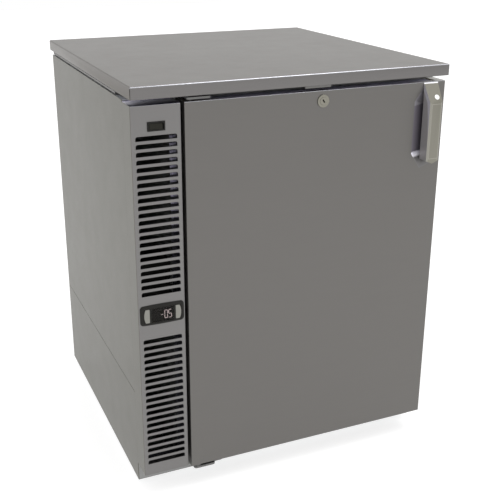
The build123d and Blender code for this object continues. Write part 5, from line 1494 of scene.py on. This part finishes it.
@dataclass
class Controller:
    """The controller: its bevelled case, two rocking keys and a lit two-figure reading."""

    figure_width: float = 6.1 * MM
    stroke: float = 1.0 * MM
    ridge_height: float = 0.25 * MM
    ridge_width: float = 0.7 * MM
    reading: tuple[str, ...] = ("g", "abcdef", "afgcd")

    def build(self) -> None:
        """Makes the case, the keys and the figures."""
        dressed("controller_case", "controller_shell", "cabinet", Finish.DARK, 0.5 * MM, 3)
        for side, body in (("left", "left_key"), ("right", "right_key")):
            self.key(side, body)
        coat_node("controller_window", Finish.WINDOW)
        self.figures()

    def key(self, side: str, body: str) -> None:
        """One key with the ridge across its middle that it rocks about.

        Args:
            side: left or right.
            body: the body it rides on.
        """
        node = f"controller_key_{side}"
        low, high = span(node)
        ridge = box_bmesh((low.x + self.ridge_width, low.y - self.ridge_height, -self.ridge_width / 2),
                          (high.x - self.ridge_width, low.y + self.ridge_height, self.ridge_width / 2))
        bmesh.ops.translate(ridge, verts=ridge.verts, vec=(0.0, 0.0, (low.z + high.z) / 2))
        mesh = merged_copy(node)
        data = bpy.data.meshes.new("ridge")
        ridge.to_mesh(data)
        ridge.free()
        mesh.from_mesh(data)
        piece = eased(f"{side}_key", mesh, 0.2 * MM, 2)
        wear(piece, Finish.KEYS)
        stand(piece, body, node)

    def figures(self) -> None:
        """The lit bars, each with pointed ends."""
        low, high = span("display_figures")
        step = (high.x - low.x - self.figure_width) / 2
        half = (self.figure_width - self.stroke) / 2
        reach = (high.z - low.z - self.stroke) / 2
        middle_y = (low.y + high.y) / 2
        middle_z = (low.z + high.z) / 2
        flat = self.figure_width - 1.5 * self.stroke
        tall = reach - 0.5 * self.stroke
        upright = (0.0, math.radians(90.0), 0.0)
        bars = {
            "a": (0.0, reach, False), "g": (0.0, 0.0, False), "d": (0.0, -reach, False),
            "b": (half, reach / 2, True), "c": (half, -reach / 2, True),
            "e": (-half, -reach / 2, True), "f": (-half, reach / 2, True),
        }
        spots = []
        for index, lit in enumerate(self.reading):
            middle_x = low.x + self.figure_width / 2 + index * step
            for key in lit:
                x, z, standing = bars[key]
                place = (middle_x + x, middle_y, middle_z + z)
                length = (tall if standing else flat, 1.0, 1.0)
                spots.append(Spot(place, upright if standing else (0.0, 0.0, 0.0), length))
        piece = planted("lit_bars", self.bar(high.y - low.y), spots, Finish.FIGURES)
        stand(piece, "cabinet", "display_figures")

    def bar(self, depth: float) -> Obj:
        """One bar of unit length with pointed ends.

        Args:
            depth: its size along Y.

        Returns:
            The bar.
        """
        tip = 0.5
        shoulder = tip - self.stroke * 100.0 * 0.9
        half = self.stroke / 2
        outline = ((-tip, 0.0), (-shoulder, -half), (shoulder, -half), (tip, 0.0), (shoulder, half),
                   (-shoulder, half))
        mesh = bmesh.new()
        face = mesh.faces.new([mesh.verts.new((x, -depth / 2, z)) for x, z in outline])
        drawn = bmesh.ops.extrude_face_region(mesh, geom=[face])["geom"]
        bmesh.ops.translate(mesh, verts=[part for part in drawn if isinstance(part, bmesh.types.BMVert)],
                            vec=(0.0, depth, 0.0))
        bmesh.ops.recalc_face_normals(mesh, faces=mesh.faces)
        return from_bmesh("bar", mesh)


@dataclass
class Door:
    """The door's outer sheet with its pressed pocket, and its seal."""

    edge: float = 0.9 * MM
    pocket_edge: float = 3.0 * MM
    pocket_reach: float = 66.0 * MM
    front_depth: float = 0.5 * MM
    fold_depth: float = 1.1 * MM
    fold_width: float = 2.4 * MM
    seal_width: float = 14.0 * MM

    def build(self) -> None:
        """Makes the door's sheet and its seal."""
        low, high = span("door_outer_skin")
        handle_low, handle_high = span("door_handle")

        def softness(middle: Vector) -> float:
            """The share of the pocket's soft edge that an edge gets.

            Args:
                middle: the edge's middle.

            Returns:
                The share.
            """
            inside = high.x - self.pocket_reach < middle.x < high.x - self.edge * 3
            inside = inside and handle_low.z - self.pocket_reach / 2 < middle.z < handle_high.z - self.edge
            return 1.0 if inside and middle.y < low.y + self.front_depth else self.edge / self.pocket_edge

        def pressed(face: bpy.types.MeshPolygon) -> bool:
            """Whether a face belongs to the pressed pocket."""
            slanted = face.normal.y > -0.97 or face.center.y > low.y + 2 * self.front_depth
            return slanted and softness(Vector((face.center.x, low.y, face.center.z))) == 1.0

        skin = eased("door_sheet", merged_copy("door_outer_skin"), self.pocket_edge, 4, softer=softness)
        # The top fold takes painted light, the top bend a painted highlight and the pocket painted light and
        # shade.
        paint(skin, Finish.DOOR,
              (Finish.FOLD, lambda face: face.normal.z > 0.9 and face.center.z > high.z - self.edge),
              (Finish.BEND, lambda face: front_bend(face) and face.center.z > high.z - 2 * self.edge),
              (Finish.POCKET, pressed))
        stand(skin, "door", "door_outer_skin")
        dressed("door_liner", "door_inner_sheet", "door", Finish.INNER, 1.2 * MM, 3)
        dressed("door_top_trim", "door_channel", "door", Finish.CHANNEL, 0.4 * MM, 2)
        self.seal()

    def seal(self) -> None:
        """The seal: one bellows profile carried round the door by mitred corners."""
        low, high = span("door_gasket")
        width = self.seal_width
        depth = high.y - low.y
        fold = self.fold_depth
        profile = (
            (0.0, 0.0), (width, 0.0), (width, depth * 0.30), (width - self.fold_width, depth * 0.42),
            (width - fold, depth * 0.56), (width - fold, depth * 0.86), (width - 2 * fold, depth),
            (2 * fold, depth), (fold, depth * 0.86), (fold, depth * 0.56), (self.fold_width, depth * 0.42),
            (0.0, depth * 0.30),
        )
        mesh = bmesh.new()
        rings = []
        for side_x, side_z in ((-1, -1), (1, -1), (1, 1), (-1, 1)):
            corner_x = low.x if side_x < 0 else high.x
            corner_z = low.z if side_z < 0 else high.z
            rings.append([
                mesh.verts.new((corner_x - side_x * across, low.y + out, corner_z - side_z * across))
                for across, out in profile])
        for start, end in zip(rings, rings[1:] + rings[:1]):
            for index in range(len(profile)):
                after = (index + 1) % len(profile)
                mesh.faces.new((start[index], start[after], end[after], end[index]))
        bmesh.ops.recalc_face_normals(mesh, faces=mesh.faces)
        seal = eased("bellows_seal", mesh, 0.35 * MM, 2, 25.0)
        wear(seal, Finish.SEAL)
        stand(seal, "door", "door_gasket")


@dataclass
class BentHandle:
    """The handle: a bent plate with a bevelled grip, and the white cap in its hole."""

    edge: float = 0.45 * MM
    top_edge: float = 1.2 * MM

    def build(self) -> None:
        """Makes the handle, with painted highlights on its faces chosen by their direction."""
        low, high = span("door_handle")
        handle = eased("bent_handle", merged_copy("door_handle"), self.edge, 3)
        # Faces by direction: painted highlights on the side walls, the grip's bevels and the top edge.
        paint(handle, Finish.HANDLE,
              (Finish.HANDLE_SIDE, lambda face: abs(face.normal.x) > 0.9),
              (Finish.HANDLE_RIM, lambda face: face.normal.y < -0.6 and 0.1 < abs(face.normal.x) <= 0.9),
              (Finish.GLINT, lambda face: face.normal.z > 0.75 and face.center.z > high.z - self.top_edge))
        stand(handle, "door", "door_handle")
        dressed("handle_cap", "hole_cap", "door", Finish.WHITE, 0.3 * MM, 2)


@dataclass
class RearCover:
    """The rear cover of the machine bay, with a pressed hood over each louvre."""

    hood_depth: float = 5.0 * MM
    hood_rise: float = 7.5 * MM
    sheet: float = 0.8 * MM
    length_steps: int = 20
    rise_steps: int = 6
    columns: tuple[float, ...] = (-165.0 * MM, 0.0)
    length: float = 150.0 * MM
    pitch: float = 12.0 * MM
    count: int = 11
    slot_height: float = 5.0 * MM
    end_fullness: int = 14
    crown: float = 0.7

    def build(self) -> None:
        """Makes the sheet and its hoods."""
        low, high = span("rear_bay_cover")
        dressed("rear_bay_cover", "louvred_sheet", "cabinet", Finish.ZINC, 0.25 * MM, 2)
        first_z = (low.z + high.z - self.pitch * (self.count - 1)) / 2 - self.slot_height / 2
        spots = [Spot((x, high.y, first_z + row * self.pitch))
                 for x in self.columns for row in range(self.count)]
        hoods = planted("louvre_hoods", self.hood(), spots, Finish.ZINC)
        stand(hoods, "cabinet", None)

    def hood(self) -> Obj:
        """One pressed hood: closed at its ends and top, open below.

        Returns:
            The hood.
        """
        mesh = bmesh.new()
        grid = []
        for along in range(self.length_steps + 1):
            share = 2.0 * along / self.length_steps - 1.0
            end = max(0.0, 1.0 - abs(share) ** self.end_fullness) ** 0.5
            column = []
            for up in range(self.rise_steps + 1):
                rise = up / self.rise_steps
                bulge = math.cos(rise * math.pi / 2) ** self.crown if rise < 1.0 else 0.0
                out = self.hood_depth * end * bulge
                column.append(mesh.verts.new((share * self.length / 2, out, rise * self.hood_rise)))
            grid.append(column)
        for near, far in zip(grid, grid[1:]):
            for up in range(self.rise_steps):
                mesh.faces.new((near[up], near[up + 1], far[up + 1], far[up]))
        bmesh.ops.recalc_face_normals(mesh, faces=mesh.faces)
        if sum(face.normal.y for face in mesh.faces) < 0:
            bmesh.ops.reverse_faces(mesh, faces=mesh.faces)
        return thickened(from_bmesh("hood", mesh, 60.0), self.sheet)


@dataclass
class Fasteners:
    """The screws of the panels and hinges: pan heads with a cross recess."""

    radius: float = 4.2 * MM
    height: float = 2.4 * MM
    recess_length: float = 4.4 * MM
    recess_width: float = 0.9 * MM
    recess_depth: float = 1.3 * MM
    taper: float = 0.92
    dome: float = 0.55
    seed: int = 11

    def build(self) -> None:
        """Makes every screw where the CAD has one."""
        rng = random.Random(self.seed)
        quarter = math.radians(90.0)
        spots = []
        for low, high in islands("panel_screws"):
            size = high - low
            middle = (low + high) / 2
            twist = rng.uniform(0.0, quarter)
            if size.z < size.x:
                spots.append(Spot((middle.x, middle.y, low.z), (0.0, 0.0, twist)))
            elif middle.y > 0:
                spots.append(Spot((middle.x, low.y, middle.z), (-quarter, twist, 0.0)))
            else:
                spots.append(Spot((middle.x, high.y, middle.z), (quarter, twist, 0.0)))
        screws = planted("cross_screws", self.screw(), spots, Finish.SCREW)
        stand(screws, "cabinet", "panel_screws")

    def screw(self) -> Obj:
        """One screw head on its seat, with the cross recess cut in.

        Returns:
            The screw.
        """
        mesh = bmesh.new()
        made = bmesh.ops.create_cone(mesh, cap_ends=True, segments=24, radius1=self.radius,
                                     radius2=self.radius * self.taper, depth=self.height)
        bmesh.ops.translate(mesh, verts=made["verts"], vec=(0.0, 0.0, self.height / 2))
        rim = [edge for edge in mesh.edges if all(vert.co.z > self.height * 0.9 for vert in edge.verts)]
        round_off(mesh, rim, self.height * self.dome, 4)
        head = from_bmesh("screw", mesh, 45.0)
        for turn in (0.0, 90.0):
            slot = bmesh.new()
            place = Matrix.Translation((0.0, 0.0, self.height)) @ Matrix.Rotation(math.radians(turn), 4, "Z")
            size = Matrix.Diagonal((self.recess_length, self.recess_width, 2 * self.recess_depth, 1.0))
            bmesh.ops.create_cube(slot, size=1.0, matrix=place @ size)
            head = cut(head, from_bmesh("recess", slot))
        return head


@dataclass
class WireShelf:
    """A shelf of bright wire: a bent rim, a cross bar and a row of thin wires."""

    node: str
    rim_radius: float = 3.0 * MM
    wire_radius: float = 1.7 * MM
    pitch: float = 24.0 * MM
    corner: float = 9.0 * MM
    sides: int = 10

    def build(self) -> None:
        """Makes the shelf with one Geometry Nodes tree."""
        low, high = span(self.node)
        rim = self.rim_radius
        length = high.x - low.x - 2 * rim
        depth = high.y - low.y - 2 * rim
        count = int(length / self.pitch) - 1
        middle = ((low.x + high.x) / 2, (low.y + high.y) / 2, low.z + rim)
        bench = GeometryBench(
            self.node, RimRadius=rim, WireRadius=self.wire_radius, Length=length, Depth=depth,
            Corner=self.corner, Count=count, Middle=middle, Step=(self.pitch, 0.0, 0.0),
            First=(-(count - 1) * self.pitch / 2, 0.0, rim))
        bent = bench.rounded(bench.input("Length"), bench.input("Depth"), bench.input("Corner"), 6)
        rim_tube = bench.tube(bent, bench.input("RimRadius"), self.sides)
        wire = bench.rod(bench.input("WireRadius"), self.sides, y=bench.number("Depth") * 0.5)
        wires = bench.row(wire, bench.input("Count"), bench.input("First"), bench.input("Step"))
        bar = bench.rod(bench.input("RimRadius"), self.sides, x=bench.number("Length") * 0.5)
        shelf = bench.moved(bench.joined(rim_tube, wires, bar), bench.input("Middle"))
        piece = bench.grown(f"{self.node}_wires", shelf, Finish.WIRE)
        stand(piece, "cabinet", self.node)


@dataclass
class FinCoil:
    """A heat exchanger: thin fins on rows of straight tube."""

    node: str
    along: int
    fin_pitch: float
    rows: int
    columns: int
    tube_radius: float = 4.0 * MM
    fin_sheet: float = 0.5 * MM
    overhang: float = 8.0 * MM

    def build(self) -> None:
        """Makes the coil."""
        low, high = span(self.node)
        length = high[self.along] - low[self.along] - 2 * self.overhang
        others = [axis for axis in range(3) if axis != self.along]
        depth, height = (high[axis] - low[axis] for axis in others)
        count = int(length / self.fin_pitch)
        bench = GeometryBench(
            self.node, FinSize=(self.fin_sheet, depth, height), Count=count, Pitch=(length / count, 0.0, 0.0),
            First=(-length / 2 + length / count / 2, 0.0, 0.0), TubeRadius=self.tube_radius,
            HalfTube=(length + self.overhang) / 2,
            RowStep=(0.0, 0.0, height / self.rows), RowCount=self.rows,
            ColumnStep=(0.0, depth / self.columns, 0.0), ColumnCount=self.columns)
        fin = bench.out("GeometryNodeMeshCube", None, {"Size": bench.input("FinSize")})
        fins = bench.row(fin, bench.input("Count"), bench.input("First"), bench.input("Pitch"))
        straight = bench.rod(bench.input("TubeRadius"), 10, x=bench.number("HalfTube"))
        first = (0.0, -depth / 2 + depth / self.columns / 2, -height / 2 + height / self.rows / 2)
        column = bench.row(straight, bench.input("RowCount"), first, bench.input("RowStep"))
        tubes = bench.row(column, bench.input("ColumnCount"), (0.0, 0.0, 0.0), bench.input("ColumnStep"))
        coil = bench.grown(f"{self.node}_fins", bench.joined(fins, tubes), Finish.FINS)
        if self.along == 1:
            coil.data.transform(Matrix.Rotation(math.radians(90.0), 4, "Z"))
        coil.data.transform(Matrix.Translation((low + high) / 2))
        stand(coil, "cabinet", self.node)


@dataclass
class AxialFan:
    """A fan: twisted, cambered blades round a domed hub."""

    node: str
    body: str
    axis: int
    radius: float
    hub_radius: float
    blades: int = 5
    span_steps: int = 6
    chord_steps: int = 5
    sheet: float = 1.4 * MM
    hub_taper: float = 0.94
    hub_rounding: float = 0.12
    root_pitch: float = 42.0
    pitch_loss: float = 18.0
    sweep: float = 0.25
    camber: float = 0.06

    def build(self) -> None:
        """Makes the hub and its blades."""
        low, high = span(self.node)
        depth = high[self.axis] - low[self.axis]
        spots = [Spot((0.0, 0.0, 0.0), (0.0, 0.0, 2 * math.pi * blade / self.blades))
                 for blade in range(self.blades)]
        fan = planted(f"{self.node}_set", self.blade(depth), spots, Finish.BLADE)
        mesh = bmesh_of(fan)
        hub = bmesh.ops.create_cone(mesh, cap_ends=True, segments=32, radius1=self.hub_radius,
                                    radius2=self.hub_radius * self.hub_taper, depth=depth * 0.98)["verts"]
        rim = {edge for vert in hub for edge in vert.link_edges
               if abs(edge.verts[0].co.z - edge.verts[1].co.z) < SAME_PLACE}
        round_off(mesh, list(rim), self.hub_radius * self.hub_rounding, 3)
        turn = Matrix.Rotation(math.radians(90.0), 4, "X" if self.axis == 1 else "Y")
        mesh.transform(Matrix.Translation((low + high) / 2) @ turn)
        fan = from_bmesh(f"{self.node}_set", mesh, 40.0)
        wear(fan, Finish.BLADE)
        stand(fan, self.body, self.node)

    def blade(self, depth: float) -> Obj:
        """One blade, from inside the hub to the tip, with its thickness.

        Args:
            depth: the fan's depth.

        Returns:
            The blade.
        """
        mesh = bmesh.new()
        grid = []
        for out in range(self.span_steps + 1):
            share = out / self.span_steps
            radius = self.hub_radius * 0.8 + (self.radius - self.hub_radius * 0.8) * share
            pitch = math.radians(self.root_pitch - self.pitch_loss * share)
            half = depth * 0.46 / math.sin(pitch) * (0.75 + 0.25 * math.sin(math.pi * share))
            row = []
            for step in range(self.chord_steps + 1):
                chord = 2.0 * step / self.chord_steps - 1.0
                sweep = chord * half * math.cos(pitch) / radius + self.sweep * share
                lift = chord * half * math.sin(pitch) * 0.98
                camber = (1.0 - chord * chord) * depth * self.camber
                reach = radius - self.radius * 0.06 * chord * chord * share
                row.append(mesh.verts.new((reach * math.cos(sweep), reach * math.sin(sweep), lift + camber)))
            grid.append(row)
        for near, far in zip(grid, grid[1:]):
            for step in range(self.chord_steps):
                mesh.faces.new((near[step], far[step], far[step + 1], near[step + 1]))
        return thickened(from_bmesh("blade", mesh, 60.0), self.sheet, 0.0)


@dataclass(frozen=True)
class Trimmed:
    """A CAD part that only needs its edges eased and its finish."""

    node: str
    slot: str
    finish: Finish
    width_mm: float
    segments: int = 2
    body: str = "cabinet"

    def build(self) -> None:
        """Makes the part."""
        dressed(self.node, f"{self.node}_eased", self.body, self.finish, self.width_mm * MM,
                self.segments)


def islands(node: str) -> list[tuple[Vector, Vector]]:
    """The lowest and highest corners of each separate solid of a CAD node.

    Args:
        node: the CAD node.

    Returns:
        A pair of corners for each solid.
    """
    mesh = merged_copy(node)
    waiting = set(mesh.verts)
    boxes = []
    while waiting:
        group = set()
        edge_of = [min(waiting, key=lambda vert: vert.index)]
        while edge_of:
            vert = edge_of.pop()
            if vert in waiting:
                waiting.remove(vert)
                group.add(vert)
                edge_of.extend(edge.other_vert(vert) for edge in vert.link_edges)
        places = [vert.co for vert in group]
        boxes.append(tuple(Vector([pick(place[axis] for place in places) for axis in range(3)])
                           for pick in (min, max)))
    mesh.free()
    return boxes


TRIMMED_PARTS = (
    Trimmed("left_side_panel", "brushed_steel", Finish.SIDE, 0.3),
    Trimmed("left_access_panel", "brushed_steel", Finish.SIDE, 0.3),
    Trimmed("right_side_panel", "brushed_steel", Finish.SIDE, 0.3),
    Trimmed("back_panel", "galvanised_steel", Finish.ZINC, 0.3),
    Trimmed("throat_breaker", "white_plastic", Finish.WHITE, 1.5, 3),
    Trimmed("inner_liner", "inner_white", Finish.INNER, 0.35),
    Trimmed("worktop_bearer", "bearer_board", Finish.BEARER, 0.3),
    Trimmed("hinge_top_bracket", "hinge_steel", Finish.HINGE, 0.5, 3),
    Trimmed("hinge_bottom_bracket", "hinge_steel", Finish.HINGE, 0.5, 3),
    Trimmed("strike_plate", "brushed_steel", Finish.STRIKE, 0.4),
    Trimmed("switch_housing", "dark_plastic", Finish.DARK, 0.3),
    Trimmed("switch_rocker", "dark_plastic", Finish.ROCKER, 0.35, 3, "rocker"),
    Trimmed("lock_body", "lock_metal", Finish.LOCK, 0.25, 2, "door"),
    Trimmed("lock_cylinder", "lock_metal", Finish.LOCK, 0.25, 2, "lock"),
    Trimmed("evaporator_cover", "inner_white", Finish.INNER, 0.3),
    Trimmed("shelf_pilasters", "galvanised_steel", Finish.ZINC, 0.3),
    Trimmed("shelf_clips", "galvanised_steel", Finish.ZINC, 0.2),
    Trimmed("control_box", "grey_plastic", Finish.DARK, 1.0, 3),
    Trimmed("mains_inlet", "dark_plastic", Finish.DARK, 0.5, 3),
    Trimmed("condensate_tray", "grey_plastic", Finish.GREY, 0.8, 3),
    Trimmed("base_pan", "galvanised_steel", Finish.ZINC, 0.3),
    Trimmed("glide_feet", "black_rubber", Finish.RUBBER, 0.8, 3),
)


NODE_FINISHES: dict[Finish, tuple[str, ...]] = {
    Finish.HINGE: ("lock_cam", "door_bushes"),
    Finish.BAY: ("condenser_shroud",),
    Finish.ZINC: ("top_deck", "machine_bay_lining"),
    Finish.COPPER: ("discharge_pipe", "suction_pipe"),
    Finish.ENAMEL: ("compressor",),
    Finish.WHITE: ("drain_sleeve",),
    Finish.DARK: ("terminal_box", "condenser_fan_motor", "evaporator_fan_motor"),
    Finish.FOAM: ("cabinet_foam", "door_insulation"),
    Finish.RUBBER: ("compressor_grommets",),
}


def main() -> None:
    """Builds every piece in order."""
    logging.basicConfig(level=logging.INFO, format="%(message)s")
    Stage().build()
    for finish, nodes in NODE_FINISHES.items():
        for node in nodes:
            coat_node(node, finish)
    for piece in (
        Worktop(), SlottedCover(), Controller(), Door(), BentHandle(), RearCover(), Fasteners(),
        *(WireShelf(f"wire_shelf_{level}") for level in ("lower", "middle", "upper")),
        FinCoil("evaporator_coil", 0, 5.0 * MM, 3, 2), FinCoil("condenser_coil", 1, 4.0 * MM, 6, 2),
        AxialFan("condenser_fan_blade", "condenser_fan", 0, 68.5 * MM, 18.0 * MM),
        AxialFan("evaporator_fan_blade", "evaporator_fan", 1, 51.0 * MM, 14.0 * MM), *TRIMMED_PARTS,
    ):
        piece.build()


if __name__ == "__main__":
    main()
